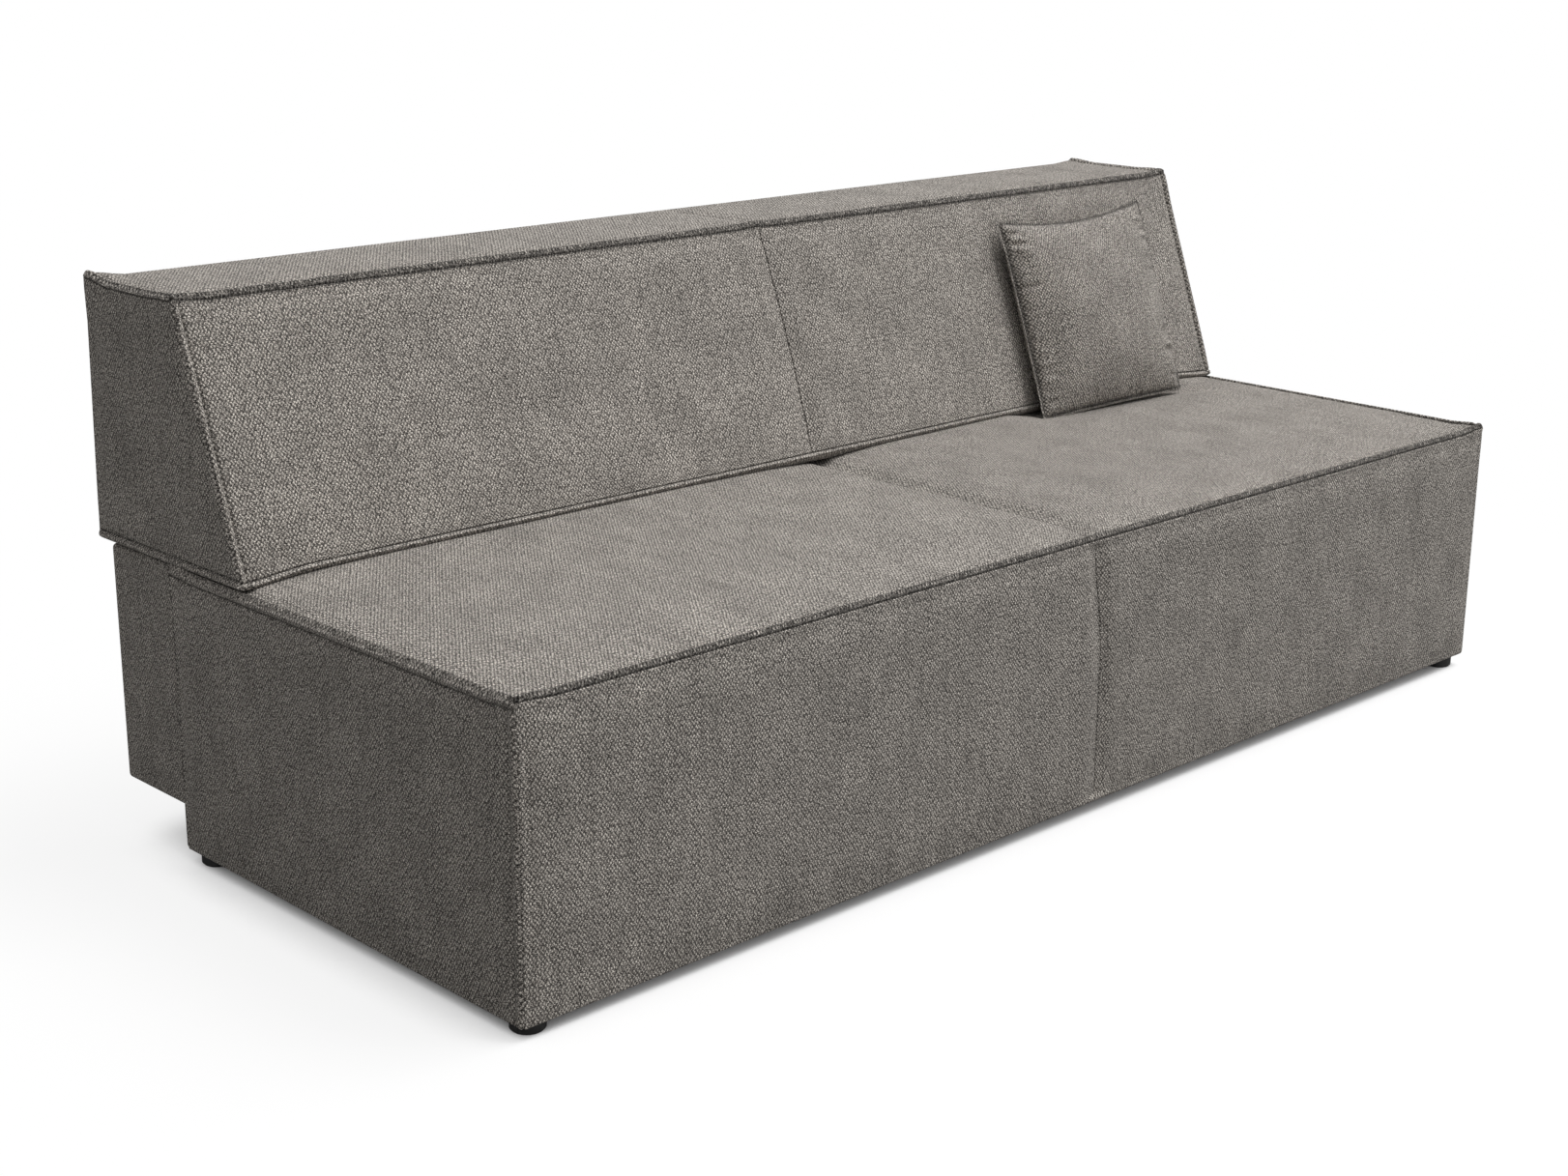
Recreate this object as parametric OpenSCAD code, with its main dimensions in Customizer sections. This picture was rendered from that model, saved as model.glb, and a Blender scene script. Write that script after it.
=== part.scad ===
// Armless sofa bed: a full-height seat block, a box behind it, and a wedge backrest
// that folds back on two swing arms until its sloped front lies level with the seat.
// Millimetres. +Z is up, the front faces -Y, and the floor is at z = 0.
// Inside the modules y is measured from the front of the seat and z from the floor.

/* [Seat block] */
// Width of the seat block
seat_w = 2200; // [1800:10:2400]
// Depth of the seat block, front to rear
seat_d = 795; // [750:5:850]
// Height of the seat above the floor
seat_h = 449; // [420:1:480]
// Height of the glides under the seat block
glide_h = 25; // [15:1:40]
// Diameter of a glide
glide_dia = 48; // [40:1:50]
// Distance from the outside of the seat block to the centre of a corner glide
glide_inset = 34; // [32:1:36]
// Thickness of the frame rails
rail_t = 28; // [26:1:34]
// Height of the frame rails
rail_h = 225; // [180:5:250]
// Number of webbing straps on each half
straps_per_half = 6; // [4:1:7]
// Width of a webbing strap
strap_w = 60; // [40:5:80]

/* [Box behind the seat] */
// Depth of the box behind the seat
box_d = 169; // [150:1:200]
// Height of the box's lower edge above the floor
box_low = 83; // [60:1:110]
// How far each end of the box stands in from the end of the seat
box_inset = 6; // [2:1:20]
// Thickness of the boards in the box and the backrest
board_t = 18; // [15:1:22]
// Thickness of the foam on the box
box_foam_t = 40; // [25:1:60]
// Diameter of a support leg under the box
leg_dia = 44; // [35:1:60]
// Distance between the outer support legs
leg_span = 1400; // [1000:10:1600]

/* [Backrest] */
// Overhang of the backrest behind the box
overhang = 25; // [25:1:32]
// Depth of the backrest at its bottom
back_low_d = 390; // [370:1:420]
// Depth of the backrest at its top
back_top_d = 235; // [200:1:260]
// How far the rear face leans forward over its height
back_lean = 14; // [8:1:20]
// Height of the backrest
back_h = 386; // [370:1:400]
// Gap between the seat and the bottom of the backrest
back_gap = 4; // [4:0.5:6]
// Thickness of the foam on the sloped front
back_foam_t = 60; // [40:1:80]
// Number of ribs in the backrest
rib_count = 5; // [3:1:7]

/* [Upholstery] */
// Thickness of the cover with its backing fleece
skin = 4; // [3:0.5:5]
// Swell of the upright faces between their edges
swell = 3; // [1:0.5:4]
// Crown of the seat between its edges
crown = 6; // [2:0.5:8]
// Thickness of the wadding on the sides of the frame
wadding_t = 8; // [5:1:12]
// Radius of the upholstered edges
edge_r = 6; // [4:0.5:6.5]

/* [Fold-back fitting] */
// Distance from the middle of the sofa to a swing arm
arm_x = 850; // [700:10:900]
// Depth of the upper pivot below the bottom of the backrest
pivot_drop = 18; // [17:0.5:22]
// Gap between the box and the backrest when it lies flat
bed_gap = 5.5; // [4:0.5:10]
// Width of the swing arm
arm_w = 22; // [20:1:22]
// Thickness of the swing arm
arm_t = 6; // [5:0.5:8]
// Diameter of the pivot pins
pin_dia = 10; // [8:1:10]
// Running clearance around a pin
run_fit = 0.06; // [0.02:0.01:0.09]
// Thickness of the bracket plates
plate_t = 3; // [2.5:0.5:3]
// Diameter of the tube between the arms
cross_dia = 16; // [12:1:18]

/* [Support stand] */
// Distance from the middle of the sofa to a stand leg
stand_x = 600; // [400:10:700]
// Height of the stand pivot above the bottom of the backrest
stand_up = 326; // [300:1:330]
// Diameter of the stand tube
stand_dia = 14; // [12:1:16]
// Clearance of the stand above the floor when the bed is open
stand_clear = 0.5; // [0.3:0.1:2]

/* [Scatter cushion] */
// Side of the scatter cushion
cushion_side = 372; // [340:1:400]
// Thickness of the scatter cushion at its middle
cushion_t = 84; // [60:1:90]
// Distance from the right end of the seat to the middle of the cushion
cushion_end = 362; // [280:1:600]
// Turn of the cushion away from square to the backrest, in degrees
cushion_turn = 5; // [0:0.5:6]

/* [Hidden] */

fabric_c = "#7d7972";
foam_c = "#e6dfc4";
wood_c = "#c9a877";
steel_c = "#3a3b3d";
zinc_c = "#b9bcc0";
black_c = "#1d1d1f";
felt_c = "#8f8f8f";

// Stations of an upholstered form: points between two corners of its section, shares of the way
// along a half with and without a centre seam, steps round an edge in degrees, and rings on an end
inner_pts = 5;
half_stops = [0.004, 0.02, 0.06, 0.15, 0.3, 0.5, 0.7, 0.85, 0.94, 0.98];
plain_stops = [0.12, 0.4, 0.7, 0.9];
round_steps = [0, 45, 90];
cap_steps = [0.82, 0.6, 0.35];

// How far a cut runs past the surface that it opens
cut = 1;
// How far the inside of a cover lies in from its outermost plane
wall = skin + swell;
// How deep the cover dips at a centre seam
seam_dip = 2.5;
// How far a loose cushion stays off the seat
soft_gap = 0.3;
// Height of the lower edge of the seat cover, and of the hem turned under the frame
seat_low = glide_h;
hem_t = 3;
hem_w = 30;
hem_gap = 0.5;
// The dust cover lies a little above the hem's underside
dust_up = 0.5;
frame_low = seat_low + hem_t;
strap_t = 2;
felt_t = 4;
centre_rail_t = 40;
// The centre rail stands below the straps, so that they can give
centre_rail_drop = 10;
frame_in = wall + wadding_t;
strap_z = frame_low + rail_h;
felt_z = strap_z + strap_t;
foam_z = felt_z + felt_t;
foam_top = seat_h - crown - skin;
half_in = seat_w/2 - wall;
foam_split = 0.5;
screw_r = 2.5;
screw_head_r = 4.5;
screw_head_t = 2;
screw_l = 16;
// Corner glides stand under the hem, middle glides under the dust cover
glide_xs = [-seat_w/2 + glide_inset, seat_w/2 - glide_inset];
glide_ys = [glide_inset, seat_d - glide_inset];
mid_glide_in = 238;
mid_glide_ys = [mid_glide_in, seat_d - mid_glide_in];
glide_pts = concat([for (x = glide_xs, y = glide_ys) [x, y, seat_low]],
                   [for (y = mid_glide_ys) [0, y, seat_low + dust_up]]);
glide_rim = 3;
glide_recess = 8;
glide_head_z = 5;
glide_head_t = 3;
glide_screw_up = 32;
bore_fit = 0.3;
hole_fit = 0.5;

// Box behind the seat
join_gap = 0.5;
box_y0 = seat_d + join_gap;
box_y1 = seat_d + box_d;
box_half = seat_w/2 - box_inset;
box_skin = 3;
box_swell = 2;
box_in_y0 = box_y0 + box_skin;
box_in_y1 = box_y1 - box_skin - box_swell;
box_in_x = box_half - box_skin - box_swell;
box_base_z = box_low + hem_t;
box_foam_top = seat_h - box_skin;
box_top_z = box_foam_top - box_foam_t - board_t;
leg_r = leg_dia/2;
leg_y = (box_in_y0 + box_in_y1)/2;
leg_xs = [-leg_span/2, 0, leg_span/2];
leg_taper = 5;
leg_foot_r = leg_r - leg_taper;
stud_in_leg = 28;
stud_hole = 30;
// Bolts that hold the box to the rear rail of the seat
bolt_r = 4;
bolt_clear = 0.5;
bolt_outer = 770;
bolt_inner = 264;
bolt_xs = [-bolt_outer, -bolt_inner, bolt_inner, bolt_outer];
bolt_up = 82;
bolt_z = box_low + bolt_up;
bolt_head_r = 7;
bolt_head_t = 5;
bolt_past = 12;
nut_r = 7.5;
nut_t = 6.5;
bolt_y0 = seat_d - frame_in - rail_t;
bolt_y1 = box_in_y0 + board_t;

// Section of the backrest: front bottom, rear bottom, rear top, front top
back_rear_y = box_y1 + overhang;
back_front_y = back_rear_y - back_low_d;
back_z0 = seat_h + back_gap;
back_z1 = back_z0 + back_h;
back_half = seat_w/2;
back_section = [[back_front_y, back_z0], [back_rear_y, back_z0],
                [back_rear_y - back_lean, back_z1],
                [back_rear_y - back_lean - back_top_d, back_z1]];
slope = atan2(back_section[3][0] - back_section[0][0], back_h);
rear_slope = atan2(back_lean, back_h);
function front_y(z) = back_front_y + (z - back_z0)*tan(slope);
function rear_y(z) = back_rear_y - (z - back_z0)*tan(rear_slope);
// Distance along y that gives a wall its thickness square to the sloped front
front_cut = wall/cos(slope);
back_skin_low = 4;
frame_z = back_z0 + back_skin_low;
back_in_x = back_half - wall;
top_foam_t = 30;
back_foam_cut = back_foam_t/cos(slope);
panel_t = 5;
panel_cut = panel_t/cos(slope);
rib_t = board_t;
rib_margin = 40;
top_foam_z = back_z1 - wall - top_foam_t;
top_foam_z1 = back_z1 - wall;
rib_z0 = frame_z + board_t;

// Fold: the backrest turns until its sloped front is level with the seat
back_turn = 90 - slope;
pivot_set = 0.5;
upper_y = box_y1 + overhang/2 + pivot_set;
upper_z = back_z0 - pivot_drop;
function cw(v, a) = [v[0]*cos(a) + v[1]*sin(a), v[1]*cos(a) - v[0]*sin(a)];
bed_front = [box_y1 + bed_gap, seat_h];
upper_bed = bed_front + cw([upper_y, upper_z] - back_section[0], back_turn);
// The lower pivot stands straight below the upper one, as far from it at both ends of the fold
lower_z = (pow(upper_bed[0] - upper_y, 2) + pow(upper_bed[1], 2) - pow(upper_z, 2))
          /(2*(upper_bed[1] - upper_z));
arm_l = upper_z - lower_z;
arm_turn = atan2(upper_bed[0] - upper_y, upper_bed[1] - lower_z);
pin_r = pin_dia/2;
bush_t = 2;
bush_r = pin_r + bush_t;
tube_wall = 1.5;
ear_t = 4;
ear_gap = 0.5;
ear_r = arm_w/2;
ear_in = arm_t/2 + ear_gap;
ear_out = ear_in + ear_t;
head_rim = 2.5;
head_r = pin_r + head_rim;
head_t = 2.5;
base_plate_w = 24;
base_plate_up = 24;
base_plate_down = 46;
slot_room = 5;
base_slot_down = ear_r + slot_room;
base_plate_y1 = box_y1 + plate_t;
base_screw_up = 14;
base_screw_down = 36;
base_screws = [for (sx = [-1, 1], dz = [base_screw_up, -base_screw_down])
    [sx*(ear_out + base_plate_w/2), dz]];
back_plate_l = 70;
back_plate_w = 24;
back_plate_y1 = upper_y + ear_r;
back_screw_in = 14;
back_screws = [for (sx = [-1, 1], dy = [back_screw_in, back_plate_l - back_screw_in])
    [sx*(ear_out + back_plate_w/2), back_plate_y1 - dy]];

// Support stand: it hangs straight down from its pivot in every position
stand_r = stand_dia/2;
cap_wall = 2;
cap_r = stand_r + cap_wall;
stand_pin_r = 3;
stand_z = back_z0 + stand_up;
stand_gap = 1;
// The hanging leg comes closest to the crowned rear face a little below its middle
closest_share = 0.56;
stand_y = rear_y(stand_z - stand_up*closest_share) + cap_r + stand_gap;
stand_pivot_bed = bed_front + cw([stand_y, stand_z] - back_section[0], back_turn);
stand_drop = stand_pivot_bed[1] - stand_clear;
cap_t = 6;
cap_wrap = 24;
stand_head = 9;
stand_side_gap = 0.6;
stand_ear_t = 3;
stand_ear_in = stand_r + stand_side_gap;
stand_ear_out = stand_ear_in + stand_ear_t;
// The upright ears start a little behind the leaning face
stand_ear_root = 0.6;
stand_plate_h = 50;
stand_plate_w = 22;
stand_bridge_h = 10;
stand_screw_up = 16;
stand_screws = [for (sx = [-1, 1], dz = [stand_screw_up, -stand_screw_up])
    [sx*(stand_ear_out + stand_plate_w/2), dz]];
stand_head_r = stand_pin_r + 2;
stand_head_t = 1.5;
stand_foot_z = stand_z - stand_drop;
cross_bar_dia = 10;
// The cross bar is welded on just above the caps
cross_bar_up = cap_t + cap_wrap + cross_bar_dia/2 + 2;
cross_bar_z = stand_foot_z + cross_bar_up;

// Scatter cushion
cushion_x = seat_w/2 - cushion_end;
cushion_half = cushion_side/2;
cushion_gap = 0.8;
// The back of the cushion is pressed flatter than its front
cushion_back_share = 0.36;
cushion_back_t = cushion_t*cushion_back_share;
cushion_front_t = cushion_t - cushion_back_t;
cushion_swing = cushion_half*sin(cushion_turn);
// The cushion leans like the sloped front, and its turned end stands further forward.
// These shares are where its pressed back meets the sloped front.
touch_thick = 0.92;
touch_swing = 0.62;
cushion_off = cushion_back_t*touch_thick + cushion_swing*touch_swing + cushion_gap;
cushion_foot_y = back_front_y - cushion_off + cushion_swing;
cushion_skin = 1.2;
cushion_seam = 3.6;
fill_gap = 0.3;
zip_l = 260;
zip_w = 3;
zip_deep = 18;
corner_pull = 12;
pillow_n = 14;

// The whole part is centred on the origin, front to rear
total_d = stand_y + cap_r;
y0 = -total_d/2;
module place() translate([0, y0, 0]) children();

echo(total_d = total_d, y0 = y0, upper = [upper_y + y0, upper_z], lower = [upper_y + y0, lower_z],
     stand = [stand_y + y0, stand_z], arm_turn = arm_turn, back_turn = back_turn,
     tilt = arm_turn - back_turn, arm_l = arm_l, stand_drop = stand_drop, total_h = back_z1);

// Box from its low corner to its high corner
module span(a, b) translate(a) cube(b - a);

// A profile in y and z, drawn out along x
module along_x(x0, x1, profile)
    translate([x0, 0, 0]) rotate([90, 0, 90]) linear_extrude(x1 - x0) polygon(profile);

// Round rod along x
module rod_x(x0, x1, y, z, r)
    translate([x0, y, z]) rotate([0, 90, 0]) cylinder(h = x1 - x0, r = r, $fn = 48);

// Round rod along y
module rod_y(y_a, y_b, x, z, r)
    translate([x, y_a, z]) rotate([-90, 0, 0]) cylinder(h = y_b - y_a, r = r, $fn = 40);

// Upholstered block: rings of one section, lofted along x
function bulge(t) = 4*t*(1 - t);
function edge_normal(a, b) = let (d = (b - a)/norm(b - a)) [d[1], -d[0]];
function edge_pts(a, b, swell_out, r) =
    let (l = norm(b - a), n = edge_normal(a, b))
    [for (i = [0 : inner_pts + 1])
        let (t = r/l + (1 - 2*r/l)*i/(inner_pts + 1))
        a + (b - a)*t + n*swell_out*bulge(t)];
function corner_mid(p, c, q) = p/4 + c/2 + q/4;
function ring(corners, swells, r) =
    [for (i = [0 : len(corners) - 1])
        let (n = len(corners), a = corners[i], b = corners[(i + 1) % n], c = corners[(i + 2) % n],
             e = edge_pts(a, b, swells[i], r), f = edge_pts(b, c, swells[(i + 1) % n], r))
        each concat(e, [corner_mid(e[len(e) - 1], b, f[0])])];
function lowest(corners) = [for (k = [0, 1]) min([for (c = corners) c[k]])];
function highest(corners) = [for (k = [0, 1]) max([for (c = corners) c[k]])];
// Share of the crown at x: none at the ends and at the centre seam
function seam_share(x, half) = let (u = abs(2*abs(x)/half - 1)) 1 - pow(u, 5);
function plain_share(x, half) = 1 - pow(abs(x)/half, 4);
// Each station along one half is [x, inset of the ring, scale of the ring]
function half_stations(half, end_swell, r, stops) =
    let (x_edge = half - end_swell)
    concat([for (s = stops) [(x_edge - r)*s, 0, 1]],
           [for (a = round_steps) [x_edge - r + r*sin(a), r*(1 - cos(a)), 1]],
           [for (f = cap_steps) [x_edge + end_swell*(1 - f*f), r, f]]);
module upholstered(corners, swells, half, end_swell, r, seam) {
    right = half_stations(half, end_swell, r, seam ? half_stops : plain_stops);
    left = [for (i = [len(right) - 1 : -1 : 0]) [-right[i][0], right[i][1], right[i][2]]];
    stations = seam ? concat(left, [[0, seam_dip, 1]], right) : concat(left, right);
    mid = (highest(corners) + lowest(corners))/2;
    size = (highest(corners) - lowest(corners))/2;
    rings = [for (s = stations)
        let (share = seam ? seam_share(s[0], half) : plain_share(s[0], half),
             pts = ring(corners, swells*max(share, 0), r),
             k = [s[2]*(1 - s[1]/size[0]), s[2]*(1 - s[1]/size[1])])
        [for (p = pts) [s[0], mid[0] + (p[0] - mid[0])*k[0], mid[1] + (p[1] - mid[1])*k[1]]]];
    n = len(rings[0]);
    m = len(rings);
    points = concat([for (g = rings) each g], [[-half, mid[0], mid[1]], [half, mid[0], mid[1]]]);
    faces = concat(
        [for (i = [0 : m - 2], j = [0 : n - 1])
            let (a = i*n + j, b = i*n + (j + 1) % n) each [[a, a + n, b + n], [a, b + n, b]]],
        [for (j = [0 : n - 1]) [n*m, j, (j + 1) % n]],
        [for (j = [0 : n - 1]) [n*m + 1, (m - 1)*n + (j + 1) % n, (m - 1)*n + j]]);
    polyhedron(points, faces);
}

// Height of the crowned seat along its depth
function seat_top(y) = seat_h - crown + crown*bulge((y - swell - edge_r)/(seat_d - 2*swell - 2*edge_r));

// Seat block
module seat_front_rail() color(wood_c) place()
    span([-half_in + wadding_t, frame_in, frame_low],
         [half_in - wadding_t, frame_in + rail_t, strap_z]);
module seat_rear_rail() color(wood_c) place() difference() {
    span([-half_in + wadding_t, seat_d - frame_in - rail_t, frame_low],
         [half_in - wadding_t, seat_d - frame_in, strap_z]);
    for (x = bolt_xs) rod_y(bolt_y0 - cut, seat_d, x, bolt_z, bolt_r + bolt_clear);
}
module seat_side_rails() color(wood_c) place() for (side = [-1, 1]) {
    x = side*(half_in - wadding_t - rail_t/2);
    span([x - rail_t/2, frame_in + rail_t, frame_low],
         [x + rail_t/2, seat_d - frame_in - rail_t, strap_z]);
}
module seat_centre_rail() color(wood_c) place()
    span([-centre_rail_t/2, frame_in + rail_t, frame_low],
         [centre_rail_t/2, seat_d - frame_in - rail_t, strap_z - centre_rail_drop]);
module seat_webbing() color(black_c) place()
    for (side = [-1, 1], i = [0 : straps_per_half - 1]) {
        x = side*(half_in - wadding_t)*(i + 0.5)/straps_per_half;
        span([x - strap_w/2, frame_in, strap_z], [x + strap_w/2, seat_d - frame_in, felt_z]);
    }
module seat_felt() color(felt_c) place()
    span([-half_in, wall, felt_z], [half_in, seat_d - wall, foam_z]);
module seat_foam(side) color(foam_c) place() {
    x_a = side < 0 ? -half_in : foam_split/2;
    x_b = side < 0 ? -foam_split/2 : half_in;
    span([x_a, wall, foam_z], [x_b, seat_d - wall, foam_top]);
}
module seat_foam_left() seat_foam(-1);
module seat_foam_right() seat_foam(1);
module seat_wadding() color("white") place() {
    for (side = [-1, 1]) {
        x = side*(half_in - wadding_t/2);
        span([x - wadding_t/2, wall + wadding_t, frame_low],
             [x + wadding_t/2, seat_d - wall - wadding_t, felt_z]);
    }
    span([-half_in, wall, frame_low], [half_in, wall + wadding_t, felt_z]);
    difference() {
        span([-half_in, seat_d - wall - wadding_t, frame_low], [half_in, seat_d - wall, felt_z]);
        for (x = bolt_xs) rod_y(seat_d - frame_in - cut, seat_d, x, bolt_z, bolt_r + bolt_clear);
    }
}
module seat_cover() color(fabric_c) place() difference() {
    upholstered([[swell, seat_low], [seat_d - swell, seat_low],
                 [seat_d - swell, seat_h - crown], [swell, seat_h - crown]],
                [0, swell, crown, swell], seat_w/2, swell, edge_r, true);
    span([-half_in, wall, frame_low], [half_in, seat_d - wall, foam_top]);
    span([-half_in + hem_w, wall + hem_w, seat_low - cut],
         [half_in - hem_w, seat_d - wall - hem_w, frame_low + cut]);
    for (x = bolt_xs) rod_y(seat_d - wall - cut, seat_d + cut, x, bolt_z, bolt_r + bolt_clear);
}
module seat_dust_cover() color(black_c) place() difference() {
    span([-half_in + hem_w + hem_gap, wall + hem_w + hem_gap, seat_low + dust_up],
         [half_in - hem_w - hem_gap, seat_d - wall - hem_w - hem_gap, frame_low]);
    for (p = glide_pts) translate([p[0], p[1], 0])
        cylinder(h = frame_low + cut, r = screw_r + hole_fit, $fn = 32);
}
module seat_glides() color(black_c) place() for (p = glide_pts)
    translate([p[0], p[1], 0]) difference() {
        rotate_extrude($fn = 64) polygon([[0, 0], [glide_dia/2 - glide_rim, 0], [glide_dia/2, glide_rim],
            [glide_dia/2, p[2] - glide_rim], [glide_dia/2 - glide_rim, p[2]], [0, p[2]]]);
        translate([0, 0, -cut]) cylinder(h = p[2] + 2*cut, r = screw_r + bore_fit, $fn = 32);
        translate([0, 0, -cut]) cylinder(h = glide_recess + cut, r = screw_head_r + hole_fit, $fn = 32);
    }
module glide_screws() color(zinc_c) place() for (p = glide_pts) translate([p[0], p[1], glide_head_z]) {
    cylinder(h = glide_head_t, r = screw_head_r, $fn = 32);
    cylinder(h = seat_low + glide_screw_up - glide_head_z, r = screw_r, $fn = 32);
}

// Box behind the seat
module box_bottom_board() color(wood_c) place() difference() {
    span([-box_in_x, box_in_y0, box_base_z], [box_in_x, box_in_y1, box_base_z + board_t]);
    for (x = leg_xs) translate([x, leg_y, box_base_z - cut])
        cylinder(h = board_t + 2*cut, r = bolt_r, $fn = 40);
}
module box_front_board() color(wood_c) place() difference() {
    span([-box_in_x, box_in_y0, box_base_z + board_t], [box_in_x, box_in_y0 + board_t, box_top_z]);
    for (x = bolt_xs) rod_y(box_in_y0 - cut, bolt_y1 + cut, x, bolt_z, bolt_r + bolt_clear);
}
module box_rear_board() color(wood_c) place()
    span([-box_in_x, box_in_y1 - board_t, box_base_z + board_t], [box_in_x, box_in_y1, box_top_z]);
module box_end_boards() color(wood_c) place() for (x = [-box_in_x, -board_t/2, box_in_x - board_t])
    span([x, box_in_y0 + board_t, box_base_z + board_t],
         [x + board_t, box_in_y1 - board_t, box_top_z]);
module box_top_board() color(wood_c) place()
    span([-box_in_x, box_in_y0, box_top_z], [box_in_x, box_in_y1, box_top_z + board_t]);
module box_foam() color(foam_c) place()
    span([-box_in_x, box_in_y0, box_top_z + board_t], [box_in_x, box_in_y1, box_foam_top]);
module box_cover() color(fabric_c) place() difference() {
    upholstered([[box_y0, box_low], [box_y1 - box_swell, box_low],
                 [box_y1 - box_swell, seat_h], [box_y0, seat_h]],
                [0, box_swell, 0, 0], box_half, box_swell, edge_r/2, false);
    span([-box_in_x, box_in_y0, box_base_z], [box_in_x, box_in_y1, box_foam_top]);
    span([-box_in_x + hem_w, box_in_y0 + hem_w, box_low - cut],
         [box_in_x - hem_w, box_in_y1 - hem_w, box_base_z + cut]);
    for (x = bolt_xs) rod_y(box_y0 - cut, box_in_y0 + cut, x, bolt_z, bolt_r + bolt_clear);
}
module box_legs() color(black_c) place() for (x = leg_xs) translate([x, leg_y, 0]) difference() {
    rotate_extrude($fn = 64) polygon([[0, 0], [leg_foot_r, 0], [leg_r, box_base_z], [0, box_base_z]]);
    translate([0, 0, box_base_z - stud_hole]) cylinder(h = stud_hole + cut, r = bolt_r, $fn = 40);
}
module leg_studs() color(zinc_c) place() for (x = leg_xs) translate([x, leg_y, box_base_z - stud_in_leg])
    cylinder(h = stud_in_leg + board_t, r = bolt_r, $fn = 40);
module join_bolts() color(zinc_c) place() for (x = bolt_xs) {
    rod_y(bolt_y0 - bolt_past, bolt_y1 + cut, x, bolt_z, bolt_r);
    rod_y(bolt_y1, bolt_y1 + bolt_head_t, x, bolt_z, bolt_head_r);
}
module join_nuts() color(zinc_c) place() for (x = bolt_xs) difference() {
    translate([x, bolt_y0 - nut_t, bolt_z]) rotate([-90, 0, 0]) cylinder(h = nut_t, r = nut_r, $fn = 6);
    rod_y(bolt_y0 - nut_t - cut, bolt_y0 + cut, x, bolt_z, bolt_r);
}

// Fold-back fitting
module base_bracket(x) difference() {
    union() {
        for (sx = [-1, 1]) {
            ear_x = sx > 0 ? x + ear_in : x - ear_out;
            rod_x(ear_x, ear_x + ear_t, upper_y, lower_z, ear_r);
            span([ear_x, box_y1, lower_z - ear_r], [ear_x + ear_t, upper_y, lower_z + ear_r]);
        }
        span([x - ear_out - base_plate_w, box_y1, lower_z - base_plate_down],
             [x + ear_out + base_plate_w, base_plate_y1, lower_z + base_plate_up]);
    }
    span([x - ear_in, box_y1 - cut, lower_z - base_slot_down],
         [x + ear_in, base_plate_y1 + cut, lower_z + base_plate_up + cut]);
    rod_x(x - ear_out - cut, x + ear_out + cut, upper_y, lower_z, pin_r);
    for (s = base_screws) rod_y(box_y1 - cut, base_plate_y1 + cut, x + s[0], lower_z + s[1], screw_r);
}
module base_brackets() color(steel_c) place() for (sx = [-1, 1]) base_bracket(sx*arm_x);
module base_bracket_screws() color(zinc_c) place() for (sx = [-1, 1], s = base_screws) {
    rod_y(box_y1 - screw_l, base_plate_y1, sx*arm_x + s[0], lower_z + s[1], screw_r);
    rod_y(base_plate_y1, base_plate_y1 + screw_head_t, sx*arm_x + s[0], lower_z + s[1], screw_head_r);
}
module pivot_pin(x, y, z, half_l, r, rim_r, rim_t) {
    rod_x(x - half_l, x + half_l, y, z, r);
    for (sx = [-1, 1]) translate([sx*(half_l + rim_t/2), 0, 0]) rod_x(x - rim_t/2, x + rim_t/2, y, z, rim_r);
}
module lower_pins() color(zinc_c) place() for (sx = [-1, 1])
    pivot_pin(sx*arm_x, upper_y, lower_z, ear_out, pin_r, head_r, head_t);
module swing_arms() color(steel_c) place() for (sx = [-1, 1]) difference() {
    union() {
        for (z = [lower_z, upper_z]) rod_x(sx*arm_x - arm_t/2, sx*arm_x + arm_t/2, upper_y, z, arm_w/2);
        span([sx*arm_x - arm_t/2, upper_y - arm_w/2, lower_z],
             [sx*arm_x + arm_t/2, upper_y + arm_w/2, upper_z]);
    }
    for (z = [lower_z, upper_z]) rod_x(sx*arm_x - arm_t, sx*arm_x + arm_t, upper_y, z, bush_r);
}
module arm_cross_tube() color(steel_c) place() difference() {
    rod_x(-arm_x + arm_t/2, arm_x - arm_t/2, upper_y, (lower_z + upper_z)/2, cross_dia/2);
    rod_x(-arm_x, arm_x, upper_y, (lower_z + upper_z)/2, cross_dia/2 - tube_wall);
}
module arm_bushes() color("white") place() for (sx = [-1, 1], z = [lower_z, upper_z]) difference() {
    rod_x(sx*arm_x - arm_t/2, sx*arm_x + arm_t/2, upper_y, z, bush_r);
    rod_x(sx*arm_x - arm_t, sx*arm_x + arm_t, upper_y, z, pin_r + run_fit);
}

// Backrest
module back_bottom_board() color(wood_c) place() {
    z1 = frame_z + board_t;
    along_x(-back_in_x, back_in_x, [[front_y(z1) + front_cut, frame_z], [rear_y(z1) - wall, frame_z],
                                    [rear_y(z1) - wall, z1], [front_y(z1) + front_cut, z1]]);
}
rear_board_y0 = function (z) rear_y(z) - wall - board_t;
module back_rear_board() color(wood_c) place()
    along_x(-back_in_x, back_in_x, [for (p = [[frame_z + board_t, board_t], [frame_z + board_t, 0],
                                              [top_foam_z, 0], [top_foam_z, board_t]])
                                    [rear_y(p[0]) - wall - p[1], p[0]]]);
rib_front = function (z) front_y(z) + front_cut + back_foam_cut + panel_cut;
module back_ribs() color(wood_c) place() for (i = [0 : rib_count - 1]) {
    x = -back_in_x + rib_margin + (2*back_in_x - 2*rib_margin - rib_t)*i/(rib_count - 1);
    along_x(x, x + rib_t, [[rib_front(rib_z0), rib_z0], [rear_board_y0(rib_z0), rib_z0],
                           [rear_board_y0(top_foam_z), top_foam_z], [rib_front(top_foam_z), top_foam_z]]);
}
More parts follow.
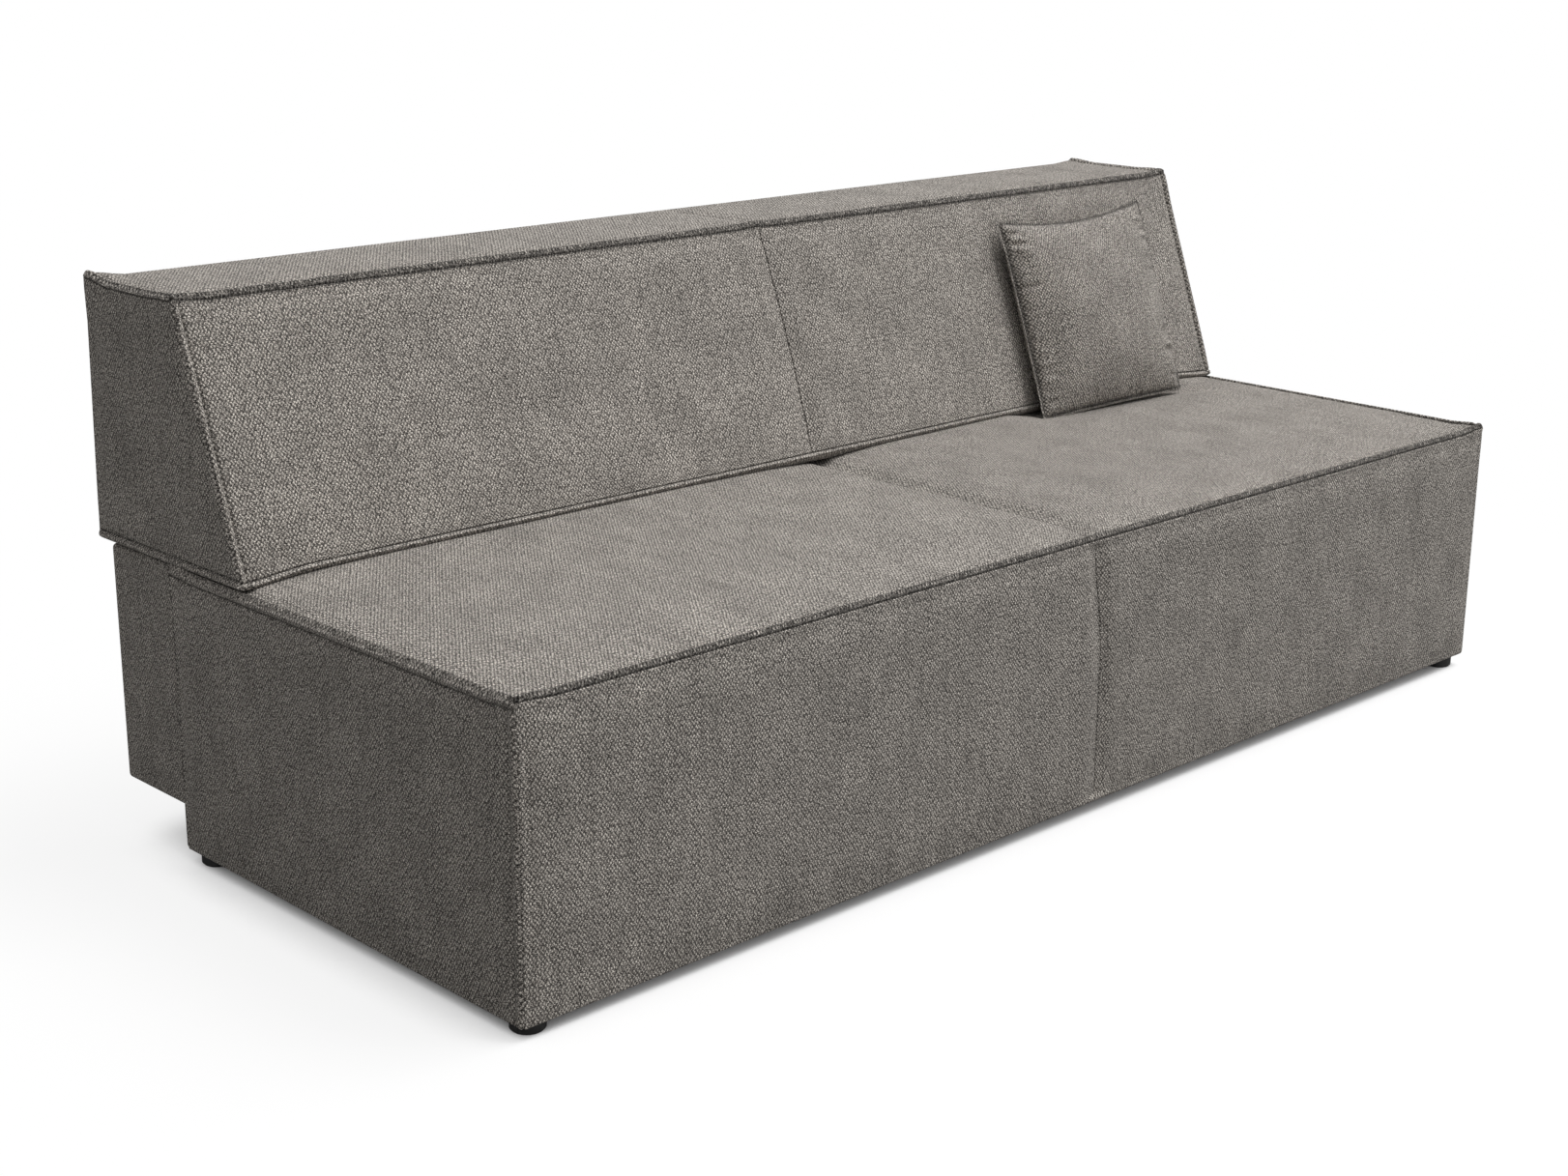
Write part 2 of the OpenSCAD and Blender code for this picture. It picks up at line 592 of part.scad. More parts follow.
module back_front_panel() color("#a07a4c") place()
    along_x(-back_in_x, back_in_x, [[rib_front(rib_z0) - panel_cut, rib_z0], [rib_front(rib_z0), rib_z0],
                                    [rib_front(top_foam_z), top_foam_z],
                                    [rib_front(top_foam_z) - panel_cut, top_foam_z]]);
module back_foam(x_a, x_b) color(foam_c) place()
    along_x(x_a, x_b, [[front_y(rib_z0) + front_cut, rib_z0],
                       [front_y(rib_z0) + front_cut + back_foam_cut, rib_z0],
                       [front_y(top_foam_z) + front_cut + back_foam_cut, top_foam_z],
                       [front_y(top_foam_z) + front_cut, top_foam_z]]);
module back_foam_left() back_foam(-back_in_x, -foam_split/2);
module back_foam_right() back_foam(foam_split/2, back_in_x);
module back_top_foam() color(foam_c) place()
    along_x(-back_in_x, back_in_x, [[front_y(top_foam_z) + front_cut, top_foam_z],
                                    [rear_y(top_foam_z) - wall, top_foam_z],
                                    [rear_y(top_foam_z1) - wall, top_foam_z1],
                                    [front_y(top_foam_z1) + front_cut, top_foam_z1]]);
// The section moved in by the swell, so that the crowned faces end at the stated size
back_core = [[back_section[0][0] + swell/cos(slope), back_section[0][1]],
             [back_section[1][0] - swell, back_section[1][1]],
             [back_section[2][0] - swell, back_section[2][1] - swell],
             [back_section[3][0] + swell/cos(slope), back_section[3][1] - swell]];
module back_cover() color(fabric_c) place() difference() {
    upholstered(back_core, [0, swell, swell, swell], back_half, swell, edge_r, true);
    along_x(-back_in_x, back_in_x, [[front_y(frame_z) + front_cut, frame_z],
                                    [rear_y(frame_z) - wall, frame_z],
                                    [rear_y(top_foam_z1) - wall, top_foam_z1],
                                    [front_y(top_foam_z1) + front_cut, top_foam_z1]]);
    for (sx = [-1, 1], s = back_screws)
        translate([sx*arm_x + s[0], s[1], back_z0 - cut])
            cylinder(h = back_skin_low + 2*cut, r = screw_r, $fn = 32);
}
module back_plates() color(steel_c) place() for (sx = [-1, 1]) translate([sx*arm_x, 0, 0]) difference() {
    span([-ear_out - back_plate_w, back_plate_y1 - back_plate_l, back_z0 - plate_t],
         [ear_out + back_plate_w, back_plate_y1, back_z0]);
    for (s = back_screws) translate([s[0], s[1], back_z0 - plate_t - cut]) {
        cylinder(h = plate_t + 2*cut, r = screw_r, $fn = 32);
        cylinder(h = screw_head_t + cut, r = screw_head_r, $fn = 32);
    }
}
// Lugs welded under the plates, one on each side of a swing arm
module back_lugs() color(steel_c) place()
    for (sx = [-1, 1], ear_x = [sx*arm_x + ear_in, sx*arm_x - ear_out]) difference() {
        union() {
            rod_x(ear_x, ear_x + ear_t, upper_y, upper_z, ear_r);
            span([ear_x, upper_y - ear_r, upper_z], [ear_x + ear_t, upper_y + ear_r, back_z0 - plate_t]);
        }
        rod_x(ear_x - cut, ear_x + ear_t + cut, upper_y, upper_z, pin_r);
    }
module back_plate_screws() color(zinc_c) place() for (sx = [-1, 1], s = back_screws)
    translate([sx*arm_x + s[0], s[1], back_z0 - plate_t]) {
        cylinder(h = screw_head_t, r = screw_head_r, $fn = 32);
        cylinder(h = screw_l, r = screw_r, $fn = 32);
    }
module upper_pins() color(zinc_c) place() for (sx = [-1, 1])
    pivot_pin(sx*arm_x, upper_y, upper_z, ear_out, pin_r, head_r, head_t);

// Support stand
module on_rear_face(x, z) translate([x, rear_y(z), z]) rotate([rear_slope, 0, 0]) children();
module stand_bracket(x) difference() {
    union() {
        on_rear_face(x, stand_z) for (sx = [-1, 1]) {
            a = sx > 0 ? stand_ear_in : -stand_ear_out - stand_plate_w;
            b = sx > 0 ? stand_ear_out + stand_plate_w : -stand_ear_in;
            span([a, 0, -stand_plate_h/2], [b, plate_t, stand_plate_h/2]);
        }
        on_rear_face(x, stand_z)
            span([-stand_ear_out, 0, stand_plate_h/2 - stand_bridge_h],
                 [stand_ear_out, plate_t, stand_plate_h/2]);
        for (sx = [-1, 1]) {
            ear_x = sx > 0 ? x + stand_ear_in : x - stand_ear_out;
            rod_x(ear_x, ear_x + stand_ear_t, stand_y, stand_z, cap_r);
            span([ear_x, rear_y(stand_z) + stand_ear_root, stand_z - cap_r],
                 [ear_x + stand_ear_t, stand_y, stand_z + cap_r]);
        }
    }
    rod_x(x - stand_ear_out - cut, x + stand_ear_out + cut, stand_y, stand_z, stand_pin_r);
    on_rear_face(x, stand_z) for (s = stand_screws) rod_y(-cut, plate_t + cut, s[0], s[1], screw_r);
}
module stand_brackets() color(steel_c) place() for (sx = [-1, 1]) stand_bracket(sx*stand_x);
module stand_bracket_screws() color(zinc_c) place() for (sx = [-1, 1]) on_rear_face(sx*stand_x, stand_z)
    for (s = stand_screws) {
        rod_y(-screw_l, plate_t, s[0], s[1], screw_r);
        rod_y(plate_t, plate_t + screw_head_t, s[0], s[1], screw_head_r);
    }
module stand_pins() color(zinc_c) place() for (sx = [-1, 1])
    pivot_pin(sx*stand_x, stand_y, stand_z, stand_ear_out, stand_pin_r, stand_head_r, stand_head_t);
module stand_legs() color(steel_c) place()
    for (sx = [-1, 1]) translate([sx*stand_x, stand_y, 0]) difference() {
        translate([0, 0, stand_foot_z + cap_t])
            cylinder(h = stand_drop - cap_t + stand_head, r = stand_r, $fn = 48);
        translate([0, 0, stand_foot_z + cap_t - cut])
            cylinder(h = stand_drop - cap_t - stand_head, r = stand_r - tube_wall, $fn = 48);
        rod_x(-stand_dia, stand_dia, 0, stand_z, stand_pin_r + run_fit);
    }
module stand_cross_bar() color(steel_c) place() difference() {
    rod_x(-stand_x, stand_x, stand_y, cross_bar_z, cross_bar_dia/2);
    for (sx = [-1, 1]) translate([sx*stand_x, stand_y, cross_bar_z - stand_dia])
        cylinder(h = 2*stand_dia, r = stand_r, $fn = 48);
}
module stand_caps() color(black_c) place() for (sx = [-1, 1])
    translate([sx*stand_x, stand_y, stand_foot_z]) difference() {
        cylinder(h = cap_t + cap_wrap, r = cap_r, $fn = 48);
        translate([0, 0, cap_t]) cylinder(h = cap_wrap + cut, r = stand_r, $fn = 48);
    }

// Scatter cushion: two crowned sheets that meet in a knife edge, drawn in between the corners
function pillow_u(i) = let (t = 2*i/pillow_n - 1) sign(t)*(1 - pow(1 - abs(t), 1.35));
function pillow_pt(u, v, y_out, half) =
    [u*(half - corner_pull*(1 - v*v)), y_out*pow(max((1 - pow(u, 4))*(1 - pow(v, 4)), 0), 0.62),
     v*(half - corner_pull*(1 - u*u))];
module pillow(half, front_t, back_t) {
    n = pillow_n + 1;
    front = [for (j = [0 : pillow_n], i = [0 : pillow_n])
        pillow_pt(pillow_u(i), pillow_u(j), -front_t, half)];
    inner = [for (j = [1 : pillow_n - 1], i = [1 : pillow_n - 1])
        pillow_pt(pillow_u(i), pillow_u(j), back_t, half)];
    // Both sheets share the points of the edge
    back_at = function (i, j) (i == 0 || j == 0 || i == pillow_n || j == pillow_n)
        ? j*n + i : n*n + (j - 1)*(pillow_n - 1) + i - 1;
    front_at = function (i, j) j*n + i;
    // The diagonal of each cell runs towards the nearest corner, so that no cell is pinched flat
    cell = function (at, i, j) ((i < pillow_n/2) == (j < pillow_n/2))
        ? [[at(i, j), at(i, j + 1), at(i + 1, j + 1)], [at(i, j), at(i + 1, j + 1), at(i + 1, j)]]
        : [[at(i, j), at(i, j + 1), at(i + 1, j)], [at(i + 1, j), at(i, j + 1), at(i + 1, j + 1)]];
    turned = function (t) [t[0], t[2], t[1]];
    faces = [for (j = [0 : pillow_n - 1], i = [0 : pillow_n - 1]) each concat(
        cell(front_at, i, j), [for (t = cell(back_at, i, j)) turned(t)])];
    polyhedron(concat(front, inner), faces);
}
module leaning()
    translate([cushion_x, back_front_y, seat_top(cushion_foot_y) + soft_gap]) rotate([-slope, 0, 0])
        translate([0, -cushion_off, cushion_half + (cushion_swing - cushion_off)*tan(slope)])
            rotate([0, 0, -cushion_turn]) children();
module cushion_cover() color(fabric_c) place() leaning() difference() {
    pillow(cushion_half, cushion_front_t, cushion_back_t);
    pillow(cushion_half - cushion_seam, cushion_front_t - cushion_skin, cushion_back_t - cushion_skin);
    // The closed zip in the lower seam
    span([-zip_l/2, -zip_w/2, -cushion_half], [zip_l/2, zip_w/2, -cushion_half + zip_deep]);
}
module cushion_filling() color("white") place() leaning()
    pillow(cushion_half - cushion_seam - fill_gap, cushion_front_t - cushion_skin - fill_gap,
           cushion_back_t - cushion_skin - fill_gap);

seat_front_rail();
seat_rear_rail();
seat_side_rails();
seat_centre_rail();
seat_webbing();
seat_felt();
seat_foam_left();
seat_foam_right();
seat_wadding();
seat_cover();
seat_dust_cover();
seat_glides();
glide_screws();
box_bottom_board();
box_front_board();
box_rear_board();
box_end_boards();
box_top_board();
box_foam();
box_cover();
box_legs();
leg_studs();
join_bolts();
join_nuts();
base_brackets();
base_bracket_screws();
lower_pins();
swing_arms();
arm_cross_tube();
arm_bushes();
back_bottom_board();
back_rear_board();
back_ribs();
back_front_panel();
back_foam_left();
back_foam_right();
back_top_foam();
back_cover();
back_plates();
back_lugs();
back_plate_screws();
upper_pins();
stand_brackets();
stand_bracket_screws();
stand_pins();
stand_legs();
stand_cross_bar();
stand_caps();
cushion_cover();
cushion_filling();
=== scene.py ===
"""Armless sofa bed: sewn covers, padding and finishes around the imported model."""
import math

import bmesh
import bpy
import numpy as np
from mathutils import Matrix, Vector, kdtree, noise


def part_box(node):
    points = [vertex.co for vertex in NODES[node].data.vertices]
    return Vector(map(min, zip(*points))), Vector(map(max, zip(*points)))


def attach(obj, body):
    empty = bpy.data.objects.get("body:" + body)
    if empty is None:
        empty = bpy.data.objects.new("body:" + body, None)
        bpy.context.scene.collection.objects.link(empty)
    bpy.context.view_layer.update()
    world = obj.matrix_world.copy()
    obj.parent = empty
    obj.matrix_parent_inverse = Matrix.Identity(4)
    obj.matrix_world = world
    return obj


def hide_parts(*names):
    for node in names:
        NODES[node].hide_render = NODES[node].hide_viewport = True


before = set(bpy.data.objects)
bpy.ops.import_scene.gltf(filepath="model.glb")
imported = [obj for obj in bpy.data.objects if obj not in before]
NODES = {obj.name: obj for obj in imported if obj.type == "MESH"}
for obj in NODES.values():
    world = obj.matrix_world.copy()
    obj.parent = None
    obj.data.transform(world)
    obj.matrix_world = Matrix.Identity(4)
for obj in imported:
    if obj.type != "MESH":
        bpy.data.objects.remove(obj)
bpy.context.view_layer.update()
MM = 0.001

# Camera, solved from the corners of the seat block, the rear box and the backrest
CAMERA_AT = Vector((-2.7590, -2.6624, 1.4005))
CAMERA_HEADING = math.radians(44.239)
CAMERA_DOWN = math.radians(16.587)
CAMERA_ROLL = math.radians(0.4277)
CAMERA_LENS = 55.40


def photo_camera():
    """Camera at the photograph's place: the heading turns from the rear towards the right."""
    level = Vector((math.sin(CAMERA_HEADING), math.cos(CAMERA_HEADING), 0))
    forward = level*math.cos(CAMERA_DOWN) - Vector((0, 0, math.sin(CAMERA_DOWN)))
    side = forward.cross(Vector((0, 0, 1))).normalized()
    rise = side.cross(forward)
    right = side*math.cos(CAMERA_ROLL) + rise*math.sin(CAMERA_ROLL)
    up = rise*math.cos(CAMERA_ROLL) - side*math.sin(CAMERA_ROLL)
    data = bpy.data.cameras.new("photo_camera")
    data.lens = CAMERA_LENS
    data.clip_end = 200
    camera = bpy.data.objects.new("photo_camera", data)
    bpy.context.scene.collection.objects.link(camera)
    turn = Matrix((right, up, -forward)).transposed().to_4x4()
    camera.matrix_world = Matrix.Translation(CAMERA_AT) @ turn
    bpy.context.scene.camera = camera


# Materials
def srgb(hex_code):
    """Linear colour of an sRGB hex value."""
    channels = [int(hex_code[i:i + 2], 16)/255 for i in (1, 3, 5)]
    linear = [c/12.92 if c <= 0.04045 else ((c + 0.055)/1.055)**2.4 for c in channels]
    return (*linear, 1.0)


def add(tree, kind, inputs=None, stops=(), **settings):
    """Adds a node with its settings and links. An input is a value, a socket, or a node for its
    first output. Stops are the (place, sRGB hex value) pairs of a colour ramp."""
    node = tree.nodes.new(kind)
    for key, value in settings.items():
        setattr(node, key, value)
    for key, value in (inputs or {}).items():
        if isinstance(value, bpy.types.Node):
            value = value.outputs[0]
        if isinstance(value, bpy.types.NodeSocket):
            tree.links.new(value, node.inputs[key])
        else:
            node.inputs[key].default_value = value
    for i, (place, colour) in enumerate(stops):
        if i > 1:
            node.color_ramp.elements.new(place)
        node.color_ramp.elements[i].position = place
        node.color_ramp.elements[i].color = srgb(colour)
    return node


def new_material(name, values):
    """A material with values set on its shader. Returns it, its tree, its shader and its Object
    coordinates."""
    material = bpy.data.materials.new(name)
    material.use_nodes = True
    tree = material.node_tree
    shader = tree.nodes["Principled BSDF"]
    for key, value in values.items():
        shader.inputs[key].default_value = value
    return material, tree, shader, add(tree, "ShaderNodeTexCoord").outputs["Object"]


def finish(tree, shader, colour, height=None, distance=0.0, roughness=None):
    """Links a colour, a raised surface and a roughness to the shader."""
    tree.links.new(colour.outputs[0], shader.inputs["Base Color"])
    if height:
        raised = add(tree, "ShaderNodeBump", {
            "Height": height, "Distance": distance, "Strength": 1.0})
        tree.links.new(raised.outputs[0], shader.inputs["Normal"])
    if roughness:
        tree.links.new(roughness.outputs[0], shader.inputs["Roughness"])


# The weave: how far apart its staggered loops lie across and up the cloth, and how high they stand
WEAVE_ACROSS = 5.56*MM
WEAVE_UP = 7.7*MM
LOOP_RISE = 1.1*MM
# Flecks of the melange, thick places of the yarn, clouds of the pile, and gathers of a tight bead
FLECK = 1.5*MM
SLUB_W = 9*MM
SLUB_L = 130*MM
MOTTLE = 85*MM
GATHER = 5.5*MM


def woven_chenille():
    """Chunky chenille cloth, woven from dark and pale melange yarn with a short raised pile: it
    looks speckled and quite matt. Painted shade darkens it between the loops, in the creases of
    the stitches and in dashes along the tight front bead."""
    material, tree, shader, _ = new_material("woven_chenille", {
        "Roughness": 0.95, "Specular IOR Level": 0.15, "Sheen Weight": 0.05,
        "Sheen Roughness": 0.6})
    cloth = add(tree, "ShaderNodeUVMap", uv_map="weave")
    # Sum and difference of the two directions put a loop at every crossing of the diagonals
    axes = add(tree, "ShaderNodeSeparateXYZ", {0: add(tree, "ShaderNodeVectorMath", {
        0: cloth, 1: (1/WEAVE_ACROSS, 1/WEAVE_UP, 0)}, operation="MULTIPLY")})
    both = {0: axes.outputs["X"], 1: axes.outputs["Y"]}
    crossing = add(tree, "ShaderNodeCombineXYZ", {
        "X": add(tree, "ShaderNodeMath", both),
        "Y": add(tree, "ShaderNodeMath", both, operation="SUBTRACT")})
    loops = add(tree, "ShaderNodeTexVoronoi", {
        "Vector": crossing, "Scale": 1.0, "Randomness": 0.35}, voronoi_dimensions="2D")
    yarn = add(tree, "ShaderNodeSeparateColor", {0: loops.outputs["Color"]})
    fleck = add(tree, "ShaderNodeTexNoise", {"Vector": cloth, "Scale": 1/FLECK, "Detail": 1.0})
    blend = add(tree, "ShaderNodeMath", {0: fleck, 1: 3.9, 2: -1.56}, operation="MULTIPLY_ADD")
    blend = add(tree, "ShaderNodeMath", {0: yarn, 1: 0.2, 2: blend}, operation="MULTIPLY_ADD")
    shade = add(tree, "ShaderNodeValToRGB", {"Fac": blend}, stops=[
        (0.0, "#302b29"), (0.3, "#6f6863"), (0.5, "#a59e97"), (0.7, "#c9c2b9"), (1.0, "#e9e3da")])
    slub = add(tree, "ShaderNodeTexNoise", {"Vector": add(tree, "ShaderNodeVectorMath", {
        0: cloth, 1: (1/SLUB_W, 1/SLUB_L, 0)}, operation="MULTIPLY"), "Scale": 1.0, "Detail": 3.0})
    mottle = add(tree, "ShaderNodeTexNoise", {"Vector": cloth, "Scale": 1/MOTTLE, "Detail": 4.0})
    uneven = add(tree, "ShaderNodeMapRange", {
        "Value": add(tree, "ShaderNodeMath", {0: slub, 1: mottle}),
        "From Min": 0.65, "From Max": 1.35, "To Min": 0.79, "To Max": 1.21})
    # Painted shading of the loops: their tops are lightened and the pits between them darkened
    loop_shading = add(tree, "ShaderNodeMapRange", {
        "Value": loops.outputs["Distance"],
        "From Min": 0.12, "From Max": 0.58, "To Min": 1.32, "To Max": 0.22})
    # Painted shade in the creases of the stitches and seams, darkening the colour where the mesh
    # marks them
    crease_shade = add(tree, "ShaderNodeAttribute", attribute_name="crease_shade")
    pressed = add(tree, "ShaderNodeMapRange", {
        "Value": crease_shade.outputs["Fac"], "To Min": 1.0, "To Max": 0.3})
    # Painted shade: on the tight front bead the cloth is darkened in dashes between its gathers,
    # for the shade in their folds
    tick = add(tree, "ShaderNodeMapRange", {
        "Value": add(tree, "ShaderNodeTexNoise", {
            "Vector": cloth, "Scale": 1/GATHER, "Detail": 1.0}),
        "From Min": 0.38, "From Max": 0.55})
    gather_dashes = add(tree, "ShaderNodeMapRange", {"Value": tick, "To Min": 0.4, "To Max": 1.0})
    gather = add(tree, "ShaderNodeAttribute", attribute_name="gather")
    gathered = add(tree, "ShaderNodeMath", {
        0: gather_dashes, 1: gather.outputs["Fac"]}, operation="MULTIPLY")
    drawn = add(tree, "ShaderNodeMapRange", {"Value": gathered, "To Min": 1.0, "To Max": 0.34})
    level = loop_shading
    for part in (uneven, pressed, drawn):
        level = add(tree, "ShaderNodeMath", {0: level, 1: part}, operation="MULTIPLY")
    colour = add(tree, "ShaderNodeVectorMath", {0: shade, "Scale": level}, operation="SCALE")
    loop_top = add(tree, "ShaderNodeMapRange", {
        "Value": loops.outputs["Distance"], "From Max": 0.7, "To Min": 1.0, "To Max": 0.0})
    pile = add(tree, "ShaderNodeMath", {0: fleck, 1: 0.7, 2: loop_top}, operation="MULTIPLY_ADD")
    pile = add(tree, "ShaderNodeMath", {0: gathered, 1: -0.8, 2: pile}, operation="MULTIPLY_ADD")
    finish(tree, shader, colour, pile, LOOP_RISE)
    return material


def planed_spruce(name, squeeze):
    """Planed spruce rails: pale straw wood with darker growth rings along the grain and a dull
    planed face. The squeeze packs the rings across the grain and draws them out along it."""
    material, tree, shader, place = new_material(name, {"Roughness": 0.6})
    grain = add(tree, "ShaderNodeVectorMath", {0: place, 1: squeeze}, operation="MULTIPLY")
    board = add(tree, "ShaderNodeTexNoise", {
        "Vector": grain, "Scale": 14.0, "Detail": 2.0, "Distortion": 0.4})
    # Rings of 3 mm are drawn about 5 mm wide, so that they show
    years = add(tree, "ShaderNodeMath", {0: board, 1: 24.0}, operation="MULTIPLY")
    rings = add(tree, "ShaderNodeMath", {0: years, 1: 1.0}, operation="PINGPONG")
    fibre = add(tree, "ShaderNodeTexNoise", {"Vector": grain, "Scale": 420.0, "Detail": 2.0})
    mixed = add(tree, "ShaderNodeMath", {0: fibre, 1: 0.35, 2: rings}, operation="MULTIPLY_ADD")
    colour = add(tree, "ShaderNodeValToRGB", {"Fac": mixed}, stops=[
        (0.15, "#e3cda0"), (0.7, "#d8bd8a"), (1.0, "#c19a62")])
    rough = add(tree, "ShaderNodeMapRange", {"Value": fibre, "To Min": 0.5, "To Max": 0.72})
    finish(tree, shader, colour, mixed, 0.15*MM, rough)
    return material


def sanded_chipboard():
    """Sanded chipboard: pressed wood flakes of several tans, flat and dry, with darker specks of
    bark."""
    material, tree, shader, place = new_material("sanded_chipboard", {"Roughness": 0.75})
    flakes = add(tree, "ShaderNodeTexVoronoi", {
        "Vector": place, "Scale": 1/(4.5*MM), "Randomness": 1.0})
    tone = add(tree, "ShaderNodeSeparateColor", {0: flakes.outputs["Color"]})
    dust = add(tree, "ShaderNodeTexNoise", {"Vector": place, "Scale": 1/(2*MM), "Detail": 3.0})
    mixed = add(tree, "ShaderNodeMath", {0: dust, 1: 0.5, 2: -0.25}, operation="MULTIPLY_ADD")
    mixed = add(tree, "ShaderNodeMath", {0: tone, 1: mixed})
    colour = add(tree, "ShaderNodeValToRGB", {"Fac": mixed}, stops=[
        (0.0, "#8a6a44"), (0.15, "#b5976a"), (0.55, "#c9ae82"), (1.0, "#dcc79f")])
    rough = add(tree, "ShaderNodeMapRange", {"Value": dust, "To Min": 0.65, "To Max": 0.9})
    finish(tree, shader, colour, mixed, 0.2*MM, rough)
    return material


def pressed_hardboard():
    """Hardboard pressed from wood fibre: even mid brown, smooth, with fine felted hairs."""
    material, tree, shader, place = new_material("pressed_hardboard", {"Roughness": 0.5})
    cloud = add(tree, "ShaderNodeTexNoise", {"Vector": place, "Scale": 1/(60*MM), "Detail": 3.0})
    hairs = add(tree, "ShaderNodeTexNoise", {
        "Vector": place, "Scale": 1/(1.5*MM), "Detail": 4.0, "Distortion": 1.5})
    mixed = add(tree, "ShaderNodeMath", {0: hairs, 1: cloud})
    mixed = add(tree, "ShaderNodeMath", {0: mixed, 1: 0.5}, operation="MULTIPLY")
    colour = add(tree, "ShaderNodeValToRGB", {"Fac": mixed}, stops=[
        (0.3, "#74522f"), (0.5, "#8d6a41"), (0.7, "#a37f52")])
    rough = add(tree, "ShaderNodeMapRange", {"Value": hairs, "To Min": 0.4, "To Max": 0.62})
    finish(tree, shader, colour, hairs, 0.06*MM, rough)
    return material


def cut_foam(name, pale, deep):
    """Foam cut from a block: open cells that look like fine crumb, quite matt."""
    material, tree, shader, place = new_material(name, {
        "Roughness": 0.95, "Specular IOR Level": 0.2})
    # Cells of 1 mm are drawn 2.2 mm wide, so that they show
    cells = add(tree, "ShaderNodeTexVoronoi", {
        "Vector": place, "Scale": 1/(2.2*MM), "Randomness": 1.0})
    cloud = add(tree, "ShaderNodeTexNoise", {"Vector": place, "Scale": 1/(90*MM), "Detail": 2.0})
    # Painted shade: the hollow of each cell is darker than its rim
    mixed = add(tree, "ShaderNodeMath", {0: cells.outputs["Distance"], 1: cloud})
    colour = add(tree, "ShaderNodeValToRGB", {"Fac": mixed}, stops=[(0.4, deep), (1.0, pale)])
    finish(tree, shader, colour, cells, 0.5*MM)
    return material


def needled_felt():
    """Needled felt of mixed textile waste: grey with stray dark and pale fibres, dull and hairy."""
    material, tree, shader, place = new_material("needled_felt", {
        "Roughness": 0.98, "Specular IOR Level": 0.1})
    hairs = add(tree, "ShaderNodeTexNoise", {
        "Vector": place, "Scale": 1/(2*MM), "Detail": 5.0, "Distortion": 2.5})
    cloud = add(tree, "ShaderNodeTexNoise", {"Vector": place, "Scale": 1/(25*MM), "Detail": 2.0})
    mixed = add(tree, "ShaderNodeMath", {0: cloud, 1: 0.4, 2: hairs}, operation="MULTIPLY_ADD")
    colour = add(tree, "ShaderNodeValToRGB", {"Fac": mixed}, stops=[
        (0.45, "#55565a"), (0.68, "#8f9092"), (0.85, "#c8c6c0")])
    finish(tree, shader, colour, hairs, 0.8*MM)
    return material


def carded_wadding():
    """Carded polyester wadding: a soft white fleece with thicker and thinner clouds, no gloss."""
    material, tree, shader, place = new_material("carded_wadding", {
        "Roughness": 1.0, "Specular IOR Level": 0.1})
    tufts = add(tree, "ShaderNodeTexNoise", {
        "Vector": place, "Scale": 1/(14*MM), "Detail": 6.0, "Distortion": 1.0})
    colour = add(tree, "ShaderNodeValToRGB", {"Fac": tufts}, stops=[
        (0.3, "#c4c4c2"), (0.7, "#ecece8")])
    finish(tree, shader, colour, tufts, 2.5*MM)
    return material


def woven_webbing():
    """Woven rubber webbing: dark straps with fine ribs across them and a dull face."""
    material, tree, shader, place = new_material("woven_webbing", {
        "Roughness": 0.8, "Specular IOR Level": 0.3})
    axes = add(tree, "ShaderNodeSeparateXYZ", {0: place})
    # Ribs of 1.2 mm are drawn 3 mm apart, so that they show
    turns = [add(tree, "ShaderNodeMath", {0: axes.outputs[k], 1: 2*math.pi/(3*MM)},
                 operation="MULTIPLY") for k in ("X", "Y")]
    ribs = [add(tree, "ShaderNodeMath", {0: turn}, operation="SINE") for turn in turns]
    weave = add(tree, "ShaderNodeMath", {0: ribs[0], 1: ribs[1]}, operation="MULTIPLY")
    worn = add(tree, "ShaderNodeTexNoise", {"Vector": place, "Scale": 1/(30*MM), "Detail": 3.0})
    mixed = add(tree, "ShaderNodeMath", {0: weave, 1: 0.25, 2: worn}, operation="MULTIPLY_ADD")
    colour = add(tree, "ShaderNodeValToRGB", {"Fac": mixed}, stops=[
        (0.2, "#141416"), (0.85, "#3c3c40")])
    finish(tree, shader, colour, weave, 0.4*MM)
    return material


def spunbond_lining():
    """Spunbond lining: thin black cloth of bonded threads with a grid of small pressed points."""
    material, tree, shader, place = new_material("spunbond_lining", {
        "Roughness": 0.85, "Specular IOR Level": 0.3})
    # Points 1 mm apart are drawn 4 mm apart, so that they show
    points = add(tree, "ShaderNodeTexVoronoi", {
        "Vector": place, "Scale": 1/(4*MM), "Randomness": 0.1})
    threads = add(tree, "ShaderNodeTexNoise", {
        "Vector": place, "Scale": 1/(8*MM), "Detail": 5.0, "Distortion": 2.0})
    mixed = add(tree, "ShaderNodeMath", {0: points, 1: 0.6, 2: threads}, operation="MULTIPLY_ADD")
    colour = add(tree, "ShaderNodeValToRGB", {"Fac": mixed}, stops=[
        (0.4, "#0f0f11"), (1.0, "#2e2e31")])
    finish(tree, shader, colour, mixed, 0.3*MM)
    return material


def zinc_plated_steel():
    """Steel with bright zinc plating: cool silver grey with a faint yellow and blue bloom and soft,
    uneven reflections."""
    material, tree, shader, place = new_material("zinc_plated_steel", {
        "Metallic": 1.0, "Roughness": 0.35})
    bloom = add(tree, "ShaderNodeTexNoise", {"Vector": place, "Scale": 1/(9*MM), "Detail": 3.0})
    grain = add(tree, "ShaderNodeTexNoise", {"Vector": place, "Scale": 1/(1.2*MM), "Detail": 2.0})
    colour = add(tree, "ShaderNodeValToRGB", {"Fac": bloom}, stops=[
        (0.3, "#b7bcc4"), (0.55, "#c6c7c6"), (0.75, "#cfcab6")])
    rough = add(tree, "ShaderNodeMapRange", {"Value": bloom, "To Min": 0.26, "To Max": 0.46})
    finish(tree, shader, colour, grain, 0.02*MM, rough)
    return material


